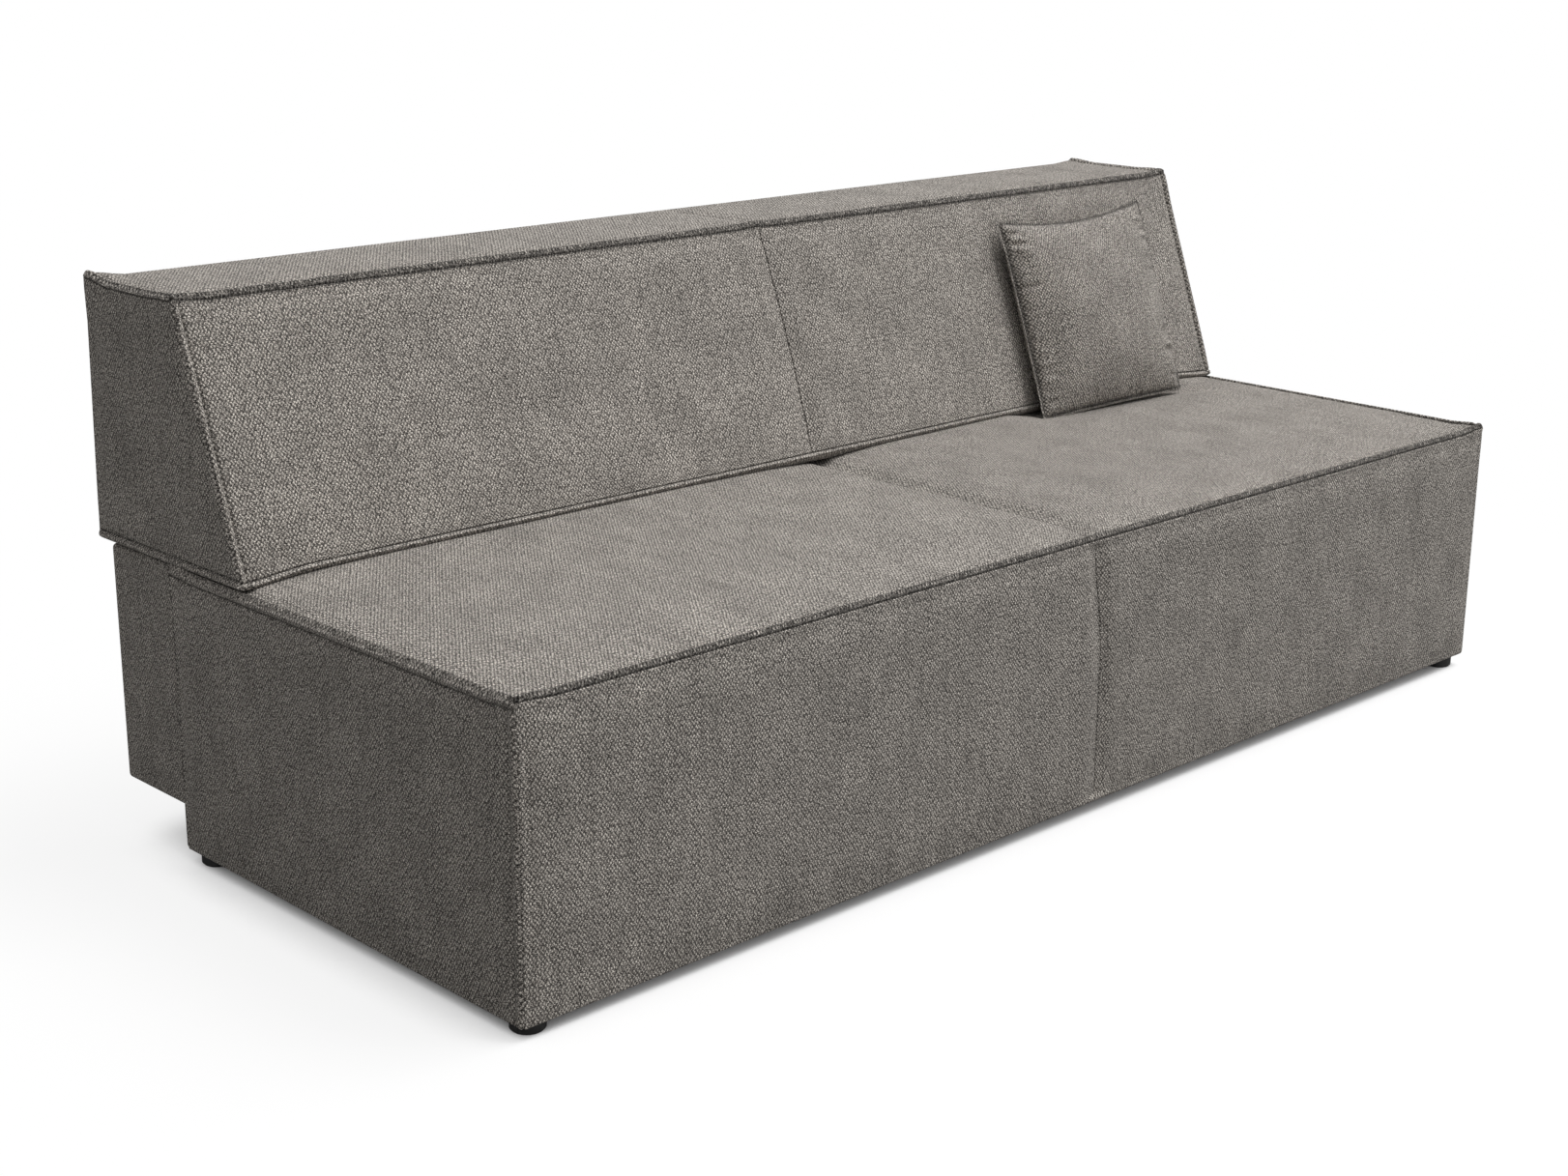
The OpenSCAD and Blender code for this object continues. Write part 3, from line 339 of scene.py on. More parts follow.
def black_powder_coat():
    """Steel with baked black powder coat: deep black, half matt, with the fine ripple of orange
    peel."""
    material, tree, shader, place = new_material("black_powder_coat", {"Roughness": 0.5})
    peel = add(tree, "ShaderNodeTexNoise", {"Vector": place, "Scale": 1/(1.6*MM), "Detail": 1.0})
    rubbed = add(tree, "ShaderNodeTexNoise", {"Vector": place, "Scale": 1/(35*MM), "Detail": 4.0})
    colour = add(tree, "ShaderNodeValToRGB", {"Fac": rubbed}, stops=[
        (0.35, "#161617"), (0.7, "#262628")])
    rough = add(tree, "ShaderNodeMapRange", {
        "Value": rubbed, "From Min": 0.3, "From Max": 0.7, "To Min": 0.42, "To Max": 0.6})
    finish(tree, shader, colour, peel, 0.08*MM, rough)
    return material


def moulded_polypropylene():
    """Glides and feet moulded in black polypropylene: fine eroded grain from the mould, with greyer
    scuffs where they are knocked."""
    material, tree, shader, place = new_material("moulded_polypropylene", {
        "Roughness": 0.5, "IOR": 1.49})
    grain = add(tree, "ShaderNodeTexNoise", {"Vector": place, "Scale": 1/(0.9*MM), "Detail": 2.0})
    scuff = add(tree, "ShaderNodeTexNoise", {"Vector": place, "Scale": 1/(12*MM), "Detail": 5.0})
    colour = add(tree, "ShaderNodeValToRGB", {"Fac": scuff}, stops=[
        (0.45, "#171717"), (0.75, "#333333")])
    rough = add(tree, "ShaderNodeMapRange", {
        "Value": scuff, "From Min": 0.3, "From Max": 0.7, "To Min": 0.4, "To Max": 0.65})
    finish(tree, shader, colour, grain, 0.06*MM, rough)
    return material


def moulded_rubber():
    """Moulded black rubber caps: no gloss, with a grey bloom in patches."""
    material, tree, shader, place = new_material("moulded_rubber", {"Roughness": 0.85, "IOR": 1.52})
    bloom = add(tree, "ShaderNodeTexNoise", {"Vector": place, "Scale": 1/(15*MM), "Detail": 5.0})
    grain = add(tree, "ShaderNodeTexNoise", {"Vector": place, "Scale": 1/(1*MM), "Detail": 2.0})
    colour = add(tree, "ShaderNodeValToRGB", {"Fac": bloom}, stops=[
        (0.4, "#1a1a1a"), (0.75, "#363635")])
    finish(tree, shader, colour, grain, 0.1*MM)
    return material


def turned_nylon():
    """Bushes turned from natural nylon: milky white with fine rings from the lathe."""
    material, tree, shader, place = new_material("turned_nylon", {
        "Roughness": 0.4, "IOR": 1.53, "Subsurface Weight": 0.1, "Subsurface Scale": 2*MM})
    axes = add(tree, "ShaderNodeSeparateXYZ", {0: place})
    # Rings of 0.2 mm are drawn 0.8 mm apart, so that they show
    turns = add(tree, "ShaderNodeMath", {0: axes.outputs["X"], 1: 2*math.pi/(0.8*MM)},
                operation="MULTIPLY")
    rings = add(tree, "ShaderNodeMath", {0: turns}, operation="SINE")
    cloud = add(tree, "ShaderNodeTexNoise", {"Vector": place, "Scale": 1/(8*MM), "Detail": 2.0})
    colour = add(tree, "ShaderNodeValToRGB", {"Fac": cloud}, stops=[
        (0.3, "#dcd9cc"), (0.7, "#eeece2")])
    finish(tree, shader, colour, rings, 0.02*MM)
    return material


def dress_frame():
    """Gives each solid that stays its finish."""
    finishes = [
        (planed_spruce("planed_spruce_across", (0.06, 1, 1)), [
            "seat_front_rail", "seat_rear_rail"]),
        (planed_spruce("planed_spruce_deep", (1, 0.06, 1)), [
            "seat_side_rails", "seat_centre_rail"]),
        (sanded_chipboard(), [
            "box_bottom_board", "box_front_board", "box_rear_board", "box_end_boards",
            "box_top_board", "back_bottom_board", "back_rear_board", "back_ribs"]),
        (pressed_hardboard(), ["back_front_panel"]),
        (cut_foam("cut_seat_foam", "#efe8cf", "#c9bf9f"), [
            "seat_foam_left", "seat_foam_right", "back_foam_left", "back_foam_right"]),
        (cut_foam("cut_pad_foam", "#e2e6e2", "#b4bab6"), ["box_foam", "back_top_foam"]),
        (needled_felt(), ["seat_felt"]),
        (carded_wadding(), ["seat_wadding"]),
        (woven_webbing(), ["seat_webbing"]),
        (moulded_polypropylene(), ["seat_glides", "box_legs"]),
        (moulded_rubber(), ["stand_caps"]),
        (turned_nylon(), ["arm_bushes"]),
        (zinc_plated_steel(), [
            "glide_screws", "leg_studs", "join_bolts", "join_nuts", "base_bracket_screws",
            "lower_pins", "back_plate_screws", "upper_pins", "stand_bracket_screws",
            "stand_pins"]),
        (black_powder_coat(), [
            "base_brackets", "swing_arms", "arm_cross_tube", "back_plates", "back_lugs",
            "stand_brackets", "stand_legs", "stand_cross_bar"])]
    for material, names in finishes:
        for name in names:
            for slot in NODES[name].material_slots:
                slot.material = material


# Upholstered blocks
PANELS = ("bottom", "rear", "top", "front", "left", "right")
BOTTOM, TOP, FRONT = (PANELS.index(name) for name in ("bottom", "top", "front"))
EDGE_ROUND = 7*MM
# The cloth is cut this far from each edge and from the centre seam, closest where stitches run.
# What is still longer than three cells along x, y or z is then cut into cells.
EDGE_CUTS = [d*MM for d in (1.4, 2.6, 3.5, 4.4, 5.4, 6.6, 8, 9.6, 11.2, 12.6, 13.8, 15.2, 17, 20,
                            24, 30, 31, 44, 62)]
SEAM_CUTS = [d*MM for d in (0, 0.9, 1.8, 3, 5, 9, 15, 24)]
CELL = (9.5*MM, 14*MM, 14*MM)
# Points closer to a cut than this lie on it
ON_CUT = 1e-6
# A line of stitches: its distance from the edge, its depth, half its width and the rise of the bead
# between it and the edge, all in mm, and how much painted shade it puts in its crease, from 0 to 1
AWAY, DEPTH, RISE = 0, 1, 3
STITCH_UNITS = (MM, MM, MM, MM, 1)
NO_STITCH = (1000, 0, 1000, 0, 0)
# A seam close under the bead, and one a little further on
CLOSE = (4.4, 2.7, 2.2, 0, 1.0)
UNDER = (7, 3, 2.2, 1.5, 0.9)
# A fine seam at an upright corner, and one beside a rear edge
THIN = (3.2, 0.5, 1.8, 0, 0.12)
BESIDE = (4.4, 1.4, 2.0, 0, 0.8)
# Topstitching that holds the turned-in cloth, a softer one, and the same round a piped edge
WIDE = (13.8, 3.4, 3.2, 2.2, 0.8)
GENTLE = (13.8, 2.6, 3.2, 3.2, 0.4)
PIPED = (11.2, 3.6, 2.4, 3.2, 0.9)
# A soft dent beside an edge, and two flatter ones
SOFT = (15.2, 2.4, 4.5, 4, 0.3)
SHALLOW = (15.2, 1, 4.5, 4, 0.3)
FLAT = (15.2, 1.6, 4.5, 1.5, 0.2)
# The raised edge along each side of the seat's top, and the crack between the seat and the box
RIDGE = (9, 3, 4.5, 4.5, 1.0)
CRACK = (4.6, 2.6, 3.4, 0, 1.0)
# Beyond its stitches the cloth stays pressed in by this share of their depth, fading over a width
SHOULDER = 0.3
SHOULDER_W = 45*MM
# A bead is highest at this share of the way from the edge to the stitches, and keeps to its own
# panel within this depth
BEAD_CREST = 0.38
BEAD_REACH = 8*MM
# The gathers of the front top bead start to fade this far back on the top and this far down the
# front, and are gone after the second distance
GATHER_BACK = (9*MM, 9*MM)
GATHER_DOWN = (3*MM, 2*MM)
# The padding is uneven by this much, in waves of this size, which start this far inside the edges.
# The shift keeps them apart from the waves of the puckers.
UNEVEN = 0.9*MM
UNEVEN_SIZE = 170*MM
UNEVEN_START = 40*MM
UNEVEN_SHIFT = 3
# The centre seam reaches its depth this far inside the rounded edges. Its line and the valley that
# it lies in have these half widths, and puckers cross it, longest along x.
SEAM_START = 8*MM
SEAM_DEEP = 3*MM
SEAM_HALF = 2*MM
# How much painted shade the line of the centre seam gets
SEAM_DARK = 0.9
VALLEY_HALF = 34*MM
SEAM_PUCKER = 1*MM
SEAM_PUCKER_SIZE = 12*MM
SEAM_PUCKER_STRETCH = (2.5, 1, 1)
SEAM_PUCKER_HALF = 40*MM
# Where the centre seam runs off to one side, it takes the cloth along up to this far from it
WANDER_HALF = 300*MM
# Nothing is pressed in deeper than this, so that foam and boards stay hidden
DEEPEST = 5.2*MM
# The bottom edge is turned in this wide, between two cuts, and the cloth inside it lies this much
# higher
HEM_W = 30.5*MM
HEM_UP = 3.4*MM
# An ear is a corner that its seams pull up. Within this share of its reach it moves as one, and
# beyond that it fades out over the reach.
EAR_REACH = 48*MM
EAR_CORE = 0.35
# Cloth simulations: the air pressure, how much the cloth of a pad grows, how stiff it is, and for
# how many frames a pad and the cushion swell
PRESSURE = 4.0
PAD_GROWTH = 0.012
STRETCH_STIFFNESS = 20
BENDING_STIFFNESS = 1.5
PAD_FRAMES = 20
CUSHION_FRAMES = 30
# Cell of a pad's even grid, and the most that a pad moves its cover
PAD_VOXEL = 14*MM
PAD_CAP = 3*MM


def fold(x, centre, half):
    """1 at the centre, falling smoothly to 0 at half a width from it."""
    return (1 + np.cos(np.pi*np.clip(np.abs(x - centre)/half, 0, 1)))/2


def ease(x):
    """Smooth step from 0 to 1."""
    t = np.clip(x, 0, 1)
    return t*t*(3 - 2*t)


def waves(points, size, *stretch):
    """Smooth noise of about -1 to 1 with waves of one size, stretched along the axes."""
    scale = np.array(stretch or (1, 1, 1))*size
    return np.array([noise.noise(Vector(p/scale)) for p in points])


class Cover:
    """An upholstered block: a section of front bottom, rear bottom, rear top and front top, as
    (y, z), drawn out to both sides of the middle. The stitching is given for panel and neighbour.
    Still panels don't swell. The seam gives how far the centre seam runs off at each point, and
    the valley how deep the cloth lies around it. The form moves points in a way of the block's own.
    The ears are corners with their moves, and a hem turns the bottom edge in."""

    def __init__(self, section, half, stitching, still=(), seam=None, valley=0, form=None, ears=(),
                 hem=False):
        self.section = section
        self.half = half
        self.seam = seam
        self.valley = valley
        self.form = form
        self.ears = ears
        self.hem = hem
        # Each panel is a point, the way out, and the weave's directions across and along
        self.panels = []
        for i in range(4):
            start, stop = section[i], section[(i + 1) % 4]
            along = Vector((0, stop[0] - start[0], stop[1] - start[1])).normalized()
            out = Vector((0, along.z, -along.y))
            self.panels.append((Vector((0, *start)), out, Vector((1, 0, 0)), along))
        for side in (-1, 1):
            self.panels.append((Vector((side*half, 0, 0)), Vector((side, 0, 0)),
                                Vector((0, 1, 0)), Vector((0, 0, 1))))
        self.still = [PANELS.index(name) for name in still]
        self.stitches = np.array([[NO_STITCH]*6]*6, float)
        for (panel, neighbour), stitch in stitching.items():
            self.stitches[PANELS.index(panel), PANELS.index(neighbour)] = stitch
        self.stitches *= STITCH_UNITS

    def depths(self, points):
        """How deep each point lies under each panel's plane, and its own panel."""
        deep = np.stack([(np.array(at) - points) @ np.array(out)
                         for at, out, _, _ in self.panels], 1)
        return deep, deep.argmin(1)

    def blank(self):
        """The plain block with sharp edges."""
        bm = bmesh.new()
        bmesh.ops.create_cube(bm, size=2)
        corner_of = {(False, False): 0, (True, False): 1, (True, True): 2, (False, True): 3}
        for v in bm.verts:
            y, z = self.section[corner_of[v.co.y > 0, v.co.z > 0]]
            v.co = (v.co.x*self.half, y, z)
        return bm

    def cut_cloth(self):
        """The block with rounded edges, cut finely where the beads and seams run."""
        bm = self.blank()
        bmesh.ops.bevel(bm, geom=bm.edges[:], offset=EDGE_ROUND, offset_type="OFFSET", segments=4,
                        profile=0.5, affect="EDGES", material=-1)
        planes = [(at - out*d, out) for at, out, _, _ in self.panels for d in EDGE_CUTS]
        if self.seam:
            planes += [(Vector((side*d, 0, 0)), Vector((1, 0, 0)))
                       for side in (-1, 1) for d in SEAM_CUTS]
        for at, out in planes:
            bmesh.ops.bisect_plane(bm, geom=bm.verts[:] + bm.edges[:] + bm.faces[:], dist=ON_CUT,
                                   plane_co=at, plane_no=out)
        for axis, cell in enumerate(CELL):
            long = [e for e in bm.edges if e.calc_length() > 3*cell and axis == max(
                range(3), key=lambda k: abs((e.verts[1].co - e.verts[0].co)[k]))]
            cuts = round(max(e.calc_length() for e in long)/cell) - 1 if long else 0
            if cuts > 0:
                bmesh.ops.subdivide_edges(bm, edges=long, cuts=cuts, use_grid_fill=True)
        return bm

    def lay_weave(self, bm, coarser):
        """UV in metres along each panel, so that the weave keeps its real size, or is this many
        times coarser."""
        layer = bm.loops.layers.uv.new("weave")
        own = self.depths(np.array([f.calc_center_median() for f in bm.faces]))[1]
        for face, k in zip(bm.faces, own):
            across, along = self.panels[k][2:]
            for loop in face.loops:
                loop[layer].uv = (loop.vert.co.dot(across)/coarser, loop.vert.co.dot(along)/coarser)

    def padding(self):
        """Swells a remeshed copy as cloth, sewn down along its edges and seams. Returns a function
        that gives how far a point of the cover moves."""
        pad = voxel_copy(self.blank(), PAD_VOXEL)
        rest = np.array([v.co for v in pad.data.vertices])
        deep, own = self.depths(rest)
        sewn = (np.sort(deep, 1)[:, 1] < SOFT[AWAY]*MM + PAD_VOXEL/2) | np.isin(own, self.still)
        if self.seam:
            sewn |= np.abs(rest[:, 0]) < PAD_VOXEL
        group = pad.vertex_groups.new(name="sewn")
        group.add([int(i) for i in np.nonzero(sewn)[0]], 1.0, "REPLACE")
        moved = swell(pad, PAD_FRAMES, PAD_GROWTH, "sewn") - rest
        length = np.linalg.norm(moved, axis=1)
        moved *= (PAD_CAP*np.tanh(length/PAD_CAP)/np.maximum(length, 1e-9))[:, None]
        bpy.data.objects.remove(pad)
        return spread(rest, moved)

    def stitch_lines(self, deep, own):
        """How far the stitches press each point in, and how much painted shade they put on it."""
        press = np.zeros(len(own))
        crease_shade = np.zeros(len(own))
        for j in range(6):
            line_at, depth, half, _, dark = self.stitches[own, j].T
            away = deep[:, j]
            line = fold(away, line_at, half)*(depth > 0)
            crease_shade = np.maximum(crease_shade, line*dark)
            shoulder = SHOULDER*depth*(away > line_at)*(1 - ease((away - line_at)/SHOULDER_W))
            press = np.maximum(press, depth*line + shoulder)
        return press, crease_shade

    def beads(self, deep, normals):
        """How the turned-in cloth between an edge and its stitches stands up as a bead."""
        moves = np.zeros((len(deep), 3))
        for i in range(6):
            lift = np.zeros(len(deep))
            for j in range(6):
                line_at, rise = self.stitches[i, j, AWAY], self.stitches[i, j, RISE]
                crest = BEAD_CREST*line_at
                half = np.where(deep[:, j] < crest, crest, line_at - crest)
                lift = np.maximum(lift, rise*fold(deep[:, j], crest, half))
            out = np.array(self.panels[i][1])
            facing = np.clip(normals @ out, 0, 1)*(1 - ease(deep[:, i]/BEAD_REACH))
            moves += (lift*facing)[:, None]*out
        return moves

    def gathers(self, deep):
        """The front top bead is drawn tightest, down to the seam close under it."""
        if not self.stitches[FRONT, TOP, DEPTH]:
            return np.zeros(len(deep))
        return ((1 - ease((deep[:, FRONT] - GATHER_BACK[0])/GATHER_BACK[1]))
                * (1 - ease((deep[:, TOP] - GATHER_DOWN[0])/GATHER_DOWN[1])))

    def sew(self, bm, padding):
        """Gives the cover its form and beads, presses in the stitches and the centre seam, swells
        it by its padding, and then moves the seam, the hem and the ears."""
        points = np.array([v.co for v in bm.verts])
        deep, own = self.depths(points)
        edge = np.sort(deep, 1)[:, 1]
        bm.normal_update()
        normals = np.array([v.normal for v in bm.verts])
        free = ~np.isin(own, self.still)
        press, crease_shade = self.stitch_lines(deep, own)
        inner = ease((edge - EDGE_ROUND)/UNEVEN_START)
        press -= UNEVEN*waves(points + UNEVEN_SHIFT, UNEVEN_SIZE)*inner*free
        if self.seam:
            off = points[:, 0]
            inside = ease((edge - EDGE_ROUND)/SEAM_START)
            line = inside*fold(off, 0, SEAM_HALF)
            # Painted shade along the line of the centre seam
            crease_shade = np.maximum(crease_shade, SEAM_DARK*line)
            press += inside*(SEAM_DEEP*line + self.valley*fold(off, 0, VALLEY_HALF))
            pucker = SEAM_PUCKER*waves(points, SEAM_PUCKER_SIZE, *SEAM_PUCKER_STRETCH)
            press -= pucker*fold(off, 0, SEAM_PUCKER_HALF)*free*inside
        form = (self.form(points, own) if self.form else 0) + self.beads(deep, normals)
        # What stands out may be pressed in that much further
        press = np.minimum(press, np.maximum((form*normals).sum(1), 0) + DEEPEST)
        creases, gathers = (bm.verts.layers.float.new(name) for name in ("crease_shade", "gather"))
        for v, p, shift, pressed, dark, tight, loose in zip(
                bm.verts, points, form, press, crease_shade, self.gathers(deep), free):
            v[creases], v[gathers] = float(dark), float(tight)
            v.co = v.co + Vector(shift) - v.normal*float(pressed)
            if padding is not None and loose:
                v.co += padding(Vector(p))
        if self.seam:
            near = np.clip(1 - np.abs(points[:, 0])/WANDER_HALF, 0, 1)
            for v, shift in zip(bm.verts, self.seam(points)*near):
                v.co.x += float(shift)
        if self.hem:
            for v, k, inward in zip(bm.verts, own, edge):
                if k == BOTTOM and inward > HEM_W:
                    v.co.z += HEM_UP
        for corner, rise in self.ears:
            for v, p in zip(bm.verts, points):
                v.co += rise*float(ease(1 + EAR_CORE - (Vector(p) - corner).length/EAR_REACH))


def new_object(name, bm):
    """Object of a finished bmesh, which is freed."""
    mesh = bpy.data.meshes.new(name)
    bm.to_mesh(mesh)
    bm.free()
    made = bpy.data.objects.new(name, mesh)
    bpy.context.scene.collection.objects.link(made)
    return made


def voxel_copy(bm, voxel):
    """Object with the shape of a bmesh, remeshed to an even grid."""
    pad = new_object("padding", bm)
    remesh = pad.modifiers.new("voxels", "REMESH")
    remesh.mode = "VOXEL"
    remesh.voxel_size = voxel
    shaped = pad.evaluated_get(bpy.context.evaluated_depsgraph_get())
    even = bpy.data.meshes.new_from_object(shaped)
    pad.modifiers.clear()
    pad.data = even
    return pad


def swell(pad, frames, growth=0.0, pinned=""):
    """Inflates a piece as cloth without gravity and returns where its points end."""
    cloth = pad.modifiers.new("cloth", "CLOTH")
    settings = cloth.settings
    settings.quality = 4
    settings.use_pressure = True
    settings.uniform_pressure_force = PRESSURE
    settings.shrink_min = -growth
    settings.tension_stiffness = STRETCH_STIFFNESS
    settings.compression_stiffness = STRETCH_STIFFNESS
    settings.bending_stiffness = BENDING_STIFFNESS
    settings.effector_weights.gravity = 0
    settings.vertex_group_mass = pinned
    scene = bpy.context.scene
    for step in range(1, frames + 1):
        scene.frame_set(step)
    result = pad.evaluated_get(bpy.context.evaluated_depsgraph_get())
    moved = np.array([v.co for v in result.data.vertices])
    scene.frame_set(1)
    return moved


def spread(rest, moved):
    """Function that blends the moves of the four nearest points."""
    tree = kdtree.KDTree(len(rest))
    for i, p in enumerate(rest):
        tree.insert(p, i)
    tree.balance()

    def at(point):
        found = tree.find_n(point, 4)
        weights = [1/(distance + 1*MM)**2 for _, _, distance in found]
        total = sum(weights)
        return sum((Vector(moved[i])*(w/total) for (_, i, _), w in zip(found, weights)), Vector())
    return at


def finish_cover(name, bm, material, body, nodes):
    """Turns a bmesh into a padded piece that rides on a body in place of CAD nodes."""
    for face in bm.faces:
        face.smooth = True
    piece = new_object(name, bm)
    piece.data.materials.append(material)
    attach(piece, body)
    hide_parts(*nodes)
    return piece


def upholster(name, cover, node, body, fabric, coarser=1, swells=True):
    """Makes one sewn cover in place of its CAD node."""
    bm = cover.cut_cloth()
    cover.lay_weave(bm, coarser)
    cover.sew(bm, cover.padding() if swells else None)
    finish_cover(name, bm, fabric, body, [node])


def box_section(node):
    """Section and half width of a node's box."""
    low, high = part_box(node)
    return [(low.y, low.z), (high.y, low.z), (high.y, high.z), (low.y, high.z)], high.x


def along_edges(*kinds):
    """Stitching from kinds, each with the pairs of panels it joins, written as panel/neighbour."""
    return {tuple(pair.split("/")): kind for kind, pairs in kinds for pair in pairs}


# The planes of the seat's and the backrest's covers lie this far inside the CAD covers' boxes, and
# the sides of the rear box this far
INSET = 1*MM
BOX_INSET = 2*MM
# Seen from further off, the weave of the backrest and the cushion is too fine to show, so it is
# drawn this much coarser
FAR_WEAVE = 1.07

# Seat: its centre seam runs this far off to the right, over these distances down the front and back
# on the top
SEAT_SEAM_OFF = 24*MM
SEAT_SEAM_DOWN = 200*MM
SEAT_SEAM_BACK = 100*MM
SEAT_VALLEY = 4*MM
# Each half of the top is crowned this high. The crown starts this far behind the front edge, takes
# this far to rise, and moves the cloth down to this depth. A higher power makes it flatter on top.
SEAT_CROWN = 12*MM
CROWN_START = 12*MM
CROWN_RISE = 170*MM
CROWN_DEPTH = 30*MM
CROWN_POWER = 6
# The backrest presses this share of the crown down, from this far behind its foot over this width
BACK_PRESSES = 0.9
BACK_PRINT = (6*MM, 16*MM)
# The cushion presses it down this far inside its box along x and y, and it is full again this far
# out, from the small share that is left under the cushion
CUSHION_PRINT_X = 10*MM
CUSHION_PRINT_Y = 20*MM
CUSHION_PRINT_W = 90*MM
CUSHION_LEAVES = 0.05
FRONT_BOW = 2.5*MM
# The hem hangs lower than the frame: in the middle, how much more to the left end and less to the
# right, the share less at the rear, and how far up and how far inward the cloth is let down
HEM_SLACK = 7.5*MM
HEM_SLACK_TILT = 2.5*MM
HEM_SLACK_REAR = 0.35
HEM_SLACK_UP = 90*MM
HEM_SLACK_IN = (1*MM, 7*MM)
# How the top corners move out and up
SEAT_EAR = Vector((1.5, 0, 4))*MM


def seat_cover(fabric):
    """The seat's cover, sewn of two halves."""
    section, half = box_section("seat_cover")
    (front, low), (rear, _), (_, top), _ = section
    half -= INSET
    front, top = front + INSET, top - INSET
    back_foot = BACK_SECTION[0][0]
    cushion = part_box("cushion_cover")

    def seam(points):
        away = (top - points[:, 2])/SEAT_SEAM_DOWN + (points[:, 1] - front)/SEAT_SEAM_BACK
        return SEAT_SEAM_OFF*ease(away)

    def crown(points, own):
        """The seat swells in each half, and lies lower where the backrest and the cushion press
        on it."""
        x, y, z = points.T
        sides = np.clip(1 - np.abs(2*np.abs(x)/half - 1)**CROWN_POWER, 0, 1)
        under_back = ease((y - back_foot - BACK_PRINT[0])/BACK_PRINT[1])
        depth = ease((y - front - CROWN_START)/CROWN_RISE)*(1 - BACK_PRESSES*under_back)
        beside = np.maximum(np.maximum(cushion[0].x + CUSHION_PRINT_X - x,
                                       x - cushion[1].x + CUSHION_PRINT_X),
                            cushion[0].y + CUSHION_PRINT_Y - y)
        depth *= ease(CUSHION_LEAVES + np.maximum(beside, 0)/CUSHION_PRINT_W)
        move = np.zeros_like(points)
        rise = np.clip((z - top)/CROWN_DEPTH + 1, 0, 1)
        move[:, 2] = SEAT_CROWN*sides*depth*rise*(own == TOP)
        bow = FRONT_BOW*sides*np.sin(np.pi*np.clip((z - low)/(top - low), 0, 1))
        move[:, 1] = -bow*(own == FRONT)
        # The hem hangs a little lower than the frame around the glides, most at the front left
        slack = HEM_SLACK - HEM_SLACK_TILT*x/half
        slack *= 1 - HEM_SLACK_REAR*ease((y - front)/(rear - front))
        inward = np.minimum(half - np.abs(x), np.minimum(y - front, rear - y))
        hangs = 1 - ease((inward - HEM_SLACK_IN[0])/HEM_SLACK_IN[1])
        move[:, 2] -= slack*(1 - ease((z - low)/HEM_SLACK_UP))*hangs
        return move

    stitching = along_edges(
        (CLOSE, ("front/top",)), (THIN, ("front/left", "front/right")),
        (WIDE, ("left/top", "right/top")), (RIDGE, ("top/left", "top/right")),
        (SOFT, ("top/front",)), (FLAT, ("left/front", "right/front")),
        (CRACK, ("left/rear", "right/rear")))
    ears = [(Vector((side*half, y, top)), Vector((side*SEAT_EAR.x, SEAT_EAR.y, SEAT_EAR.z)))
            for side in (-1, 1) for y in (front, rear)]
    cover = Cover([(front, low), (rear, low), (rear, top), (front, top)], half, stitching,
                  still=("bottom", "rear"), seam=seam, valley=SEAT_VALLEY, form=crown, ears=ears,
                  hem=True)
    upholster("seat_upholstery", cover, "seat_cover", "base", fabric)


def box_cover(fabric):
    """The cover of the box behind the seat, stretched flat over its boards."""
    section, half = box_section("box_cover")
    cover = Cover(section, half - BOX_INSET, {}, still=PANELS, hem=True)
    upholster("rear_box_upholstery", cover, "box_cover", "base", fabric, swells=False)


# Backrest: front bottom, rear bottom, rear top and front top
BACK_SECTION = [(97.6*MM, 453*MM), (487.6*MM, 453*MM), (473.6*MM, 839*MM), (238.6*MM, 839*MM)]
BACK_SEAM_OFF = 6*MM
BACK_VALLEY = 1.2*MM
# The front foot is pushed up this far between its ends, within this height and depth of the foot
# and this far in from the ends
FOOT_UP = 10.5*MM
FOOT_HEIGHT = 60*MM
FOOT_DEPTH = 18*MM
FOOT_ENDS = 130*MM
# The front top edge rolls down this far, within this depth and height of the edge. At the centre
# seam it is held up, and at the ends all but a share of it.
ROLL_DOWN = 2*MM
ROLL_DEPTH = 48*MM
ROLL_HEIGHT = 45*MM
ROLL_ENDS = 60*MM
ROLL_AT_ENDS = 0.3
ROLL_MIDDLE = 50*MM
# How the top corners move, the left and the right one of the rear and of the front
REAR_EARS = (Vector((-1.5, 2, 7.5))*MM, Vector((1.5, 2, 3.5))*MM)
FRONT_EARS = (Vector((-1, -1, 3))*MM, Vector((1, -1, 3))*MM)


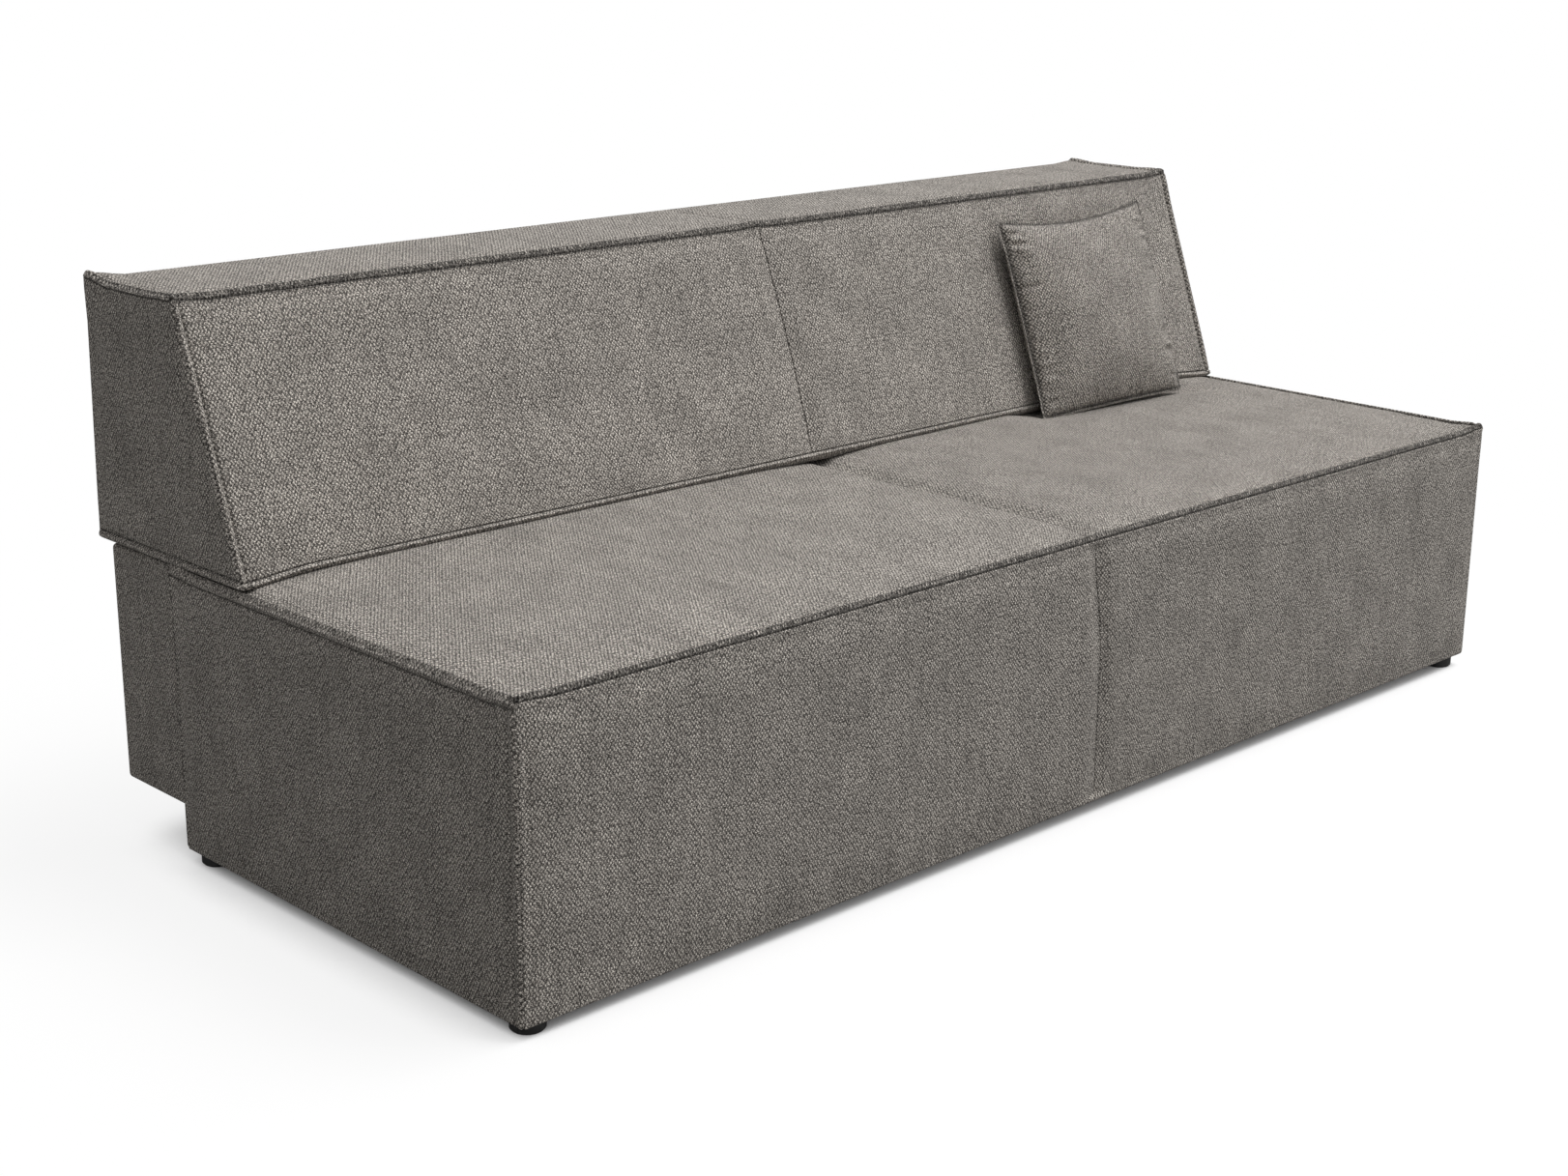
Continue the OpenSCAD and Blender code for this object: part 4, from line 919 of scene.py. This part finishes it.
def back_cover(fabric):
    """The wedge backrest's cover, sewn of two halves."""
    half = box_section("back_cover")[1] - INSET
    (front, low), (rear, _), (rear_top, top), (front_top, _) = BACK_SECTION
    front, front_top, top = front + INSET, front_top + INSET, top - INSET
    rear, rear_top = rear - INSET, rear_top - INSET

    def seam(points):
        return BACK_SEAM_OFF*np.sin(np.pi*np.clip((points[:, 2] - low)/(top - low), 0, 1))

    def foot_and_roll(points, own):
        """The seat's crown pushes the front foot up between its ends, and the front top edge rolls
        down a little where neither the ends nor the centre seam hold it."""
        x, y, z = points.T
        sides = ease((half - np.abs(x))/FOOT_ENDS)
        foot = (1 - ease((z - low)/FOOT_HEIGHT))*(1 - ease((y - front)/FOOT_DEPTH))
        move = np.zeros_like(points)
        move[:, 2] = FOOT_UP*sides*foot
        behind = (y - front) - (z - low)*(front_top - front)/(top - low)
        roll = (1 - ease(behind/ROLL_DEPTH))*(1 - ease((top - z)/ROLL_HEIGHT))
        loose = np.minimum(ease((half - np.abs(x))/ROLL_ENDS + ROLL_AT_ENDS),
                           ease(np.abs(x)/ROLL_MIDDLE))
        move[:, 2] -= ROLL_DOWN*roll*loose
        return move

    stitching = along_edges(
        (CLOSE, ("front/top",)), (UNDER, ("left/top", "right/top")), (PIPED, ("front/bottom",)),
        (GENTLE, ("front/left", "front/right")), (WIDE, ("left/bottom", "right/bottom")),
        (BESIDE, ("left/rear", "right/rear")), (SOFT, ("top/left", "top/right")),
        (SHALLOW, ("top/front",)))
    ears = [(Vector((side*half, y, top)), move)
            for y, moves in ((rear_top, REAR_EARS), (front_top, FRONT_EARS))
            for side, move in zip((-1, 1), moves)]
    cover = Cover([(front, low), (rear, low), (rear_top, top), (front_top, top)], half, stitching,
                  still=("bottom", "rear"), seam=seam, valley=BACK_VALLEY, form=foot_and_roll,
                  ears=ears)
    upholster("backrest_upholstery", cover, "back_cover", "backrest", fabric, FAR_WEAVE)


# Scatter cushion: its side from corner to corner, how far it bulges in front of its seam and behind
# it, and how it leans back and turns aside
CUSHION_SIDE = 372*MM
CUSHION_FRONT = 54*MM
CUSHION_BACK = 32*MM
CUSHION_LEAN = math.radians(20.07)
CUSHION_TURN = math.radians(5)
# Each sheet is a square of this side and number of cells. They lie this far apart at the rim, which
# carries a flange of this width.
BLANK_SIDE = 390*MM
BLANK_CELLS = 70
HEM_T = 2.4*MM
FLANGE = 6*MM
FLANGE_CREASE = 5*MM
FRONT_DENTS = 0.25
REAR_DENTS = 0.1
# The edges of the filled cushion pull in this far between its corners: the sides, the foot that
# rests on the seat, and the free top edge
SIDE_PULL = 3*MM
FOOT_PULL = 2*MM
TOP_PULL = 19*MM
# The rear sheet bulges out past the sides of the seam by this much, most at the second distance
# from the rim, and is back in line the third distance beyond it
REAR_BULGE = (7*MM, 12*MM, 30*MM)
# Puckers beside the seam: their depth at the sides and at the ends, how far from the rim they are
# deepest, how far they run in beyond that, and the size of a pucker along itself and across
SIDE_PUCKER = 13*MM
END_PUCKER = 5*MM
PUCKER_AT = 14*MM
PUCKER_RUN = 44*MM
PUCKER_LONG = 60*MM
PUCKER_WIDE = 11*MM
# At the sides they are deepest between the middle and the corners: the least share of their depth,
# and where it grows and fades, as a start and a length in shares of the half side
PUCKER_LEAST = 0.3
PUCKER_GROWS = (0.15, 0.3)
PUCKER_FADES = (0.8, 0.2)


def cushion_sheets():
    """Two square sheets joined along their rims. Returns their bmesh, the faces of the rim, and the
    layer with each point's place in the flat sheets."""
    bm = bmesh.new()
    bmesh.ops.create_grid(bm, x_segments=BLANK_CELLS, y_segments=BLANK_CELLS, size=BLANK_SIDE/2)
    copied = bmesh.ops.duplicate(bm, geom=bm.faces[:])["geom"]
    rear = [f for f in copied if isinstance(f, bmesh.types.BMFace)]
    bmesh.ops.reverse_faces(bm, faces=rear)
    bmesh.ops.translate(bm, verts=[v for v in copied if isinstance(v, bmesh.types.BMVert)],
                        vec=(0, 0, -HEM_T))
    rim = bmesh.ops.bridge_loops(bm, edges=[e for e in bm.edges if e.is_boundary])["faces"]
    flat = bm.verts.layers.float_vector.new("flat")
    for v in bm.verts:
        v[flat] = v.co
    bm.verts.index_update()
    return bm, rim, flat


def filled_cushion(bm):
    """Where the points of the two sheets lie once the cushion is filled."""
    rest = np.array([v.co for v in bm.verts])
    u = np.abs(rest[:, :2])/(BLANK_SIDE/2)
    in_front = rest[:, 2] > -HEM_T/2
    # The rear sheet is squarer than the front one, because the backrest presses it flat
    even = np.where(in_front, np.sqrt(np.clip((1 - u[:, 0]**2)*(1 - u[:, 1]**2), 0, 1)),
                    -np.sqrt(np.clip((1 - u[:, 0]**4)*(1 - u[:, 1]**3), 0, 1)))
    pad = new_object("padding", bm.copy())
    moved = swell(pad, CUSHION_FRAMES)
    bpy.data.objects.remove(pad)
    # Even stuffing smooths out most of the dents that air alone would leave
    dents = np.where(in_front, FRONT_DENTS, REAR_DENTS)
    moved[:, 2] = dents*moved[:, 2] + (1 - dents)*even*np.abs(moved[:, 2]).max()
    moved[:, 2] += HEM_T/2
    inner = CUSHION_SIDE - 2*FLANGE
    ends = np.where(rest[:, 1] < 0, FOOT_PULL, TOP_PULL)
    pull = np.array([np.full(len(rest), SIDE_PULL), ends]).T
    moved[:, :2] = rest[:, :2]*(inner - 2*pull*(1 - u[:, ::-1]**2))/BLANK_SIDE
    inward = (1 - u)*BLANK_SIDE/2
    bulge, bulge_at, bulge_run = REAR_BULGE
    half = np.where(inward[:, 0] < bulge_at, bulge_at, bulge_run)
    out = bulge*fold(inward[:, 0], bulge_at, half)*(1 - u[:, 1]**6)
    moved[:, 0] += np.sign(rest[:, 0])*np.where(in_front, 0, out)
    # Filled cushions keep more of their bulk in front than against the backrest
    moved[:, 2] = np.where(moved[:, 2] > 0, moved[:, 2]*CUSHION_FRONT/moved[:, 2].max(),
                           moved[:, 2]*CUSHION_BACK/-moved[:, 2].min())
    grows = ease((u[:, 1] - PUCKER_GROWS[0])/PUCKER_GROWS[1])
    fades = ease((u[:, 1] - PUCKER_FADES[0])/PUCKER_FADES[1])
    beside = PUCKER_LEAST + (1 - PUCKER_LEAST)*grows*(1 - fades)
    # The sides and the ends each take their own slice of the noise
    for k, deep, size in ((0, SIDE_PUCKER*beside, (PUCKER_LONG, PUCKER_WIDE)),
                          (1, END_PUCKER, (PUCKER_WIDE, PUCKER_LONG))):
        wrinkle = np.array([noise.noise(Vector((x/size[0], y/size[1], 7*k)))
                            for x, y in rest[:, :2]])
        half = np.where(inward[:, k] < PUCKER_AT, PUCKER_AT, PUCKER_RUN)
        moved[:, 2] += deep*wrinkle*fold(inward[:, k], PUCKER_AT, half)
    return moved


def add_flange(bm, rim, flat):
    """Draws the rim out into the flat flange outside the seam."""
    grown = bmesh.ops.extrude_face_region(bm, geom=rim)["geom"]
    bmesh.ops.delete(bm, geom=rim, context="FACES_ONLY")
    for v in (g for g in grown if isinstance(g, bmesh.types.BMVert)):
        reach = [FLANGE if abs(abs(c) - BLANK_SIDE/2) < ON_CUT else 0.0 for c in v[flat].xy]
        step = Vector((math.copysign(reach[0], v[flat].x), math.copysign(reach[1], v[flat].y), 0))
        v.co += step
        v.co.z = math.copysign(HEM_T/2, v.co.z)
        v[flat] = v[flat] + step


def scatter_cushion(fabric):
    """Two square sheets sewn together and filled, with a flat flange outside the seam."""
    bm, rim, flat = cushion_sheets()
    for v, p in zip(bm.verts, filled_cushion(bm)):
        v.co = p
    add_flange(bm, rim, flat)
    weave = bm.loops.layers.uv.new("weave")
    for face in bm.faces:
        for loop in face.loops:
            loop[weave].uv = loop.vert[flat].xy/FAR_WEAVE
    bmesh.ops.recalc_face_normals(bm, faces=bm.faces[:])
    # Painted shade darkens the cloth along the seam at the rim, fading over FLANGE_CREASE
    crease_shade = bm.verts.layers.float.new("crease_shade")
    for v in bm.verts:
        edge = BLANK_SIDE/2 - max(abs(v[flat].x), abs(v[flat].y))
        v[crease_shade] = float(fold(edge, 0, FLANGE_CREASE)) if edge > -1*MM else 0.0
    # The sheets are upright once the cushion leans on the backrest, and the front one faces forward
    turn = (Matrix.Rotation(-CUSHION_LEAN, 4, "X") @ Matrix.Rotation(-CUSHION_TURN, 4, "Z")
            @ Matrix.Rotation(math.pi/2, 4, "X"))
    bmesh.ops.transform(bm, matrix=turn, verts=bm.verts[:])
    low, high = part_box("cushion_cover")
    corners = np.array([v.co for v in bm.verts])
    at = [(low[k] + high[k])/2 - (corners[:, k].min() + corners[:, k].max())/2 for k in (0, 1)]
    bmesh.ops.translate(bm, verts=bm.verts[:], vec=(*at, low.z - corners[:, 2].min()))
    piece = finish_cover("scatter_cushion_cover", bm, fabric, "scatter_cushion",
                         ["cushion_cover", "cushion_filling"])
    smooth = piece.modifiers.new("smooth", "SUBSURF")
    smooth.levels = smooth.render_levels = 1


# Lining under the seat: its thickness, how far it lies under the top of the CAD lining at the
# rails, how far it sags between them, and the waves in the sag
LINING_T = 0.5*MM
LINING_DROP = 1*MM
LINING_SAG = 3.5*MM
LINING_WAVE = 0.8*MM
LINING_WAVE_SIZE = 90*MM


def under_lining(lining):
    """The lining stapled under the seat hangs down a little on both sides of the centre rail."""
    low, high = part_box("seat_dust_cover")
    size = high - low
    bm = bmesh.new()
    bmesh.ops.create_grid(bm, x_segments=96, y_segments=36, size=0.5)
    bmesh.ops.scale(bm, vec=(size.x, size.y, 1), verts=bm.verts[:])
    for v in bm.verts:
        bay = math.sin(math.pi*min(1, abs(v.co.x)/(size.x/2)))
        slack = max(bay*math.cos(math.pi*v.co.y/size.y), 0)
        wave = LINING_WAVE*slack*noise.noise(v.co/LINING_WAVE_SIZE)
        v.co.z = high.z - LINING_DROP - LINING_SAG*math.sqrt(slack) - wave
        v.co.y += (low.y + high.y)/2
    bmesh.ops.solidify(bm, geom=bm.faces[:], thickness=LINING_T)
    bmesh.ops.recalc_face_normals(bm, faces=bm.faces[:])
    for face in bm.faces:
        face.smooth = True
    piece = new_object("under_lining", bm)
    piece.data.materials.append(lining)
    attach(piece, "base")
    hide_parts("seat_dust_cover")


# Studio: the even fill, and for each lamp its name, place, width, height and watts. The lamps face
# the middle of the floor.
FILL = 0.43
LAMPS = (("key_softbox", Vector((0.45, -0.30, 1)).normalized()*16, 10, 10, 2400),
         ("front_strip", Vector((0.3, -3.4, 0.7)), 4.5, 0.9, 13))
WHITE = (1, 1, 1, 1)
FLOOR_HALF = 40


def backdrop():
    """White where the camera, a gloss or a clear piece shows it, and an even fill for all else."""
    world = bpy.data.worlds.new("studio")
    bpy.context.scene.world = world
    world.use_nodes = True
    tree = world.node_tree
    tree.nodes.clear()
    path = add(tree, "ShaderNodeLightPath")
    seen = add(tree, "ShaderNodeMath", {
        0: path.outputs["Is Camera Ray"], 1: path.outputs["Is Glossy Ray"]}, operation="MAXIMUM")
    seen = add(tree, "ShaderNodeMath", {0: seen, 1: path.outputs["Is Transmission Ray"]},
               operation="MAXIMUM")
    light = add(tree, "ShaderNodeBackground", {"Color": WHITE, "Strength": FILL})
    white = add(tree, "ShaderNodeBackground", {"Color": WHITE, "Strength": 1.0})
    mixed = add(tree, "ShaderNodeMixShader", {0: seen, 1: light, 2: white})
    add(tree, "ShaderNodeOutputWorld", {"Surface": mixed})


def lamps():
    """A large soft key from above and a weak strip in front."""
    for name, at, width, height, watts in LAMPS:
        data = bpy.data.lights.new(name, "AREA")
        data.shape = "RECTANGLE"
        data.size, data.size_y, data.energy = width, height, watts
        lamp = bpy.data.objects.new(name, data)
        bpy.context.scene.collection.objects.link(lamp)
        lamp.location = at
        lamp.rotation_euler = at.to_track_quat("Z", "Y").to_euler()
        lamp.visible_camera = False


def white_floor():
    """A floor that the camera sees white, with the sofa's soft shadow, which is deepest close under
    the sofa and runs out into the backdrop. The sofa gets only the little light back that a grey
    studio floor throws up."""
    bm = bmesh.new()
    bmesh.ops.create_grid(bm, x_segments=1, y_segments=1, size=FLOOR_HALF)
    floor = new_object("floor", bm)
    material, tree, shader, place = new_material("white_floor", {
        "Roughness": 0.9, "Specular IOR Level": 0.1})
    path = add(tree, "ShaderNodeLightPath")
    base = add(tree, "ShaderNodeMix", {
        0: path.outputs["Is Camera Ray"], 6: srgb("#7c7c7b"), 7: srgb("#fafafa")}, data_type="RGBA")
    tree.links.new(base.outputs[2], shader.inputs["Base Color"])
    far = add(tree, "ShaderNodeVectorMath", {0: place}, operation="LENGTH")
    fade = add(tree, "ShaderNodeMapRange", {
        "Value": far.outputs["Value"], "From Min": 1.2, "From Max": 2.2,
        "To Min": 0.86, "To Max": 1.0}, interpolation_type="SMOOTHSTEP")
    close = add(tree, "ShaderNodeAmbientOcclusion", {"Distance": 0.14}, samples=8)
    open_air = add(tree, "ShaderNodeMapRange", {
        "Value": close.outputs["AO"], "From Min": 0.1, "From Max": 0.75})
    fade = add(tree, "ShaderNodeMath", {0: fade, 1: open_air}, operation="MULTIPLY")
    glow = add(tree, "ShaderNodeEmission", {"Color": WHITE, "Strength": 1.0})
    seen = add(tree, "ShaderNodeMath", {0: fade, 1: path.outputs["Is Camera Ray"]},
               operation="MULTIPLY")
    mixed = add(tree, "ShaderNodeMixShader", {0: seen, 1: shader, 2: glow})
    tree.links.new(mixed.outputs[0], tree.nodes["Material Output"].inputs["Surface"])
    floor.data.materials.append(material)


photo_camera()
bpy.context.scene.view_settings.view_transform = "Standard"
backdrop()
lamps()
white_floor()
fabric = woven_chenille()
seat_cover(fabric)
box_cover(fabric)
back_cover(fabric)
scatter_cushion(fabric)
under_lining(spunbond_lining())
dress_frame()
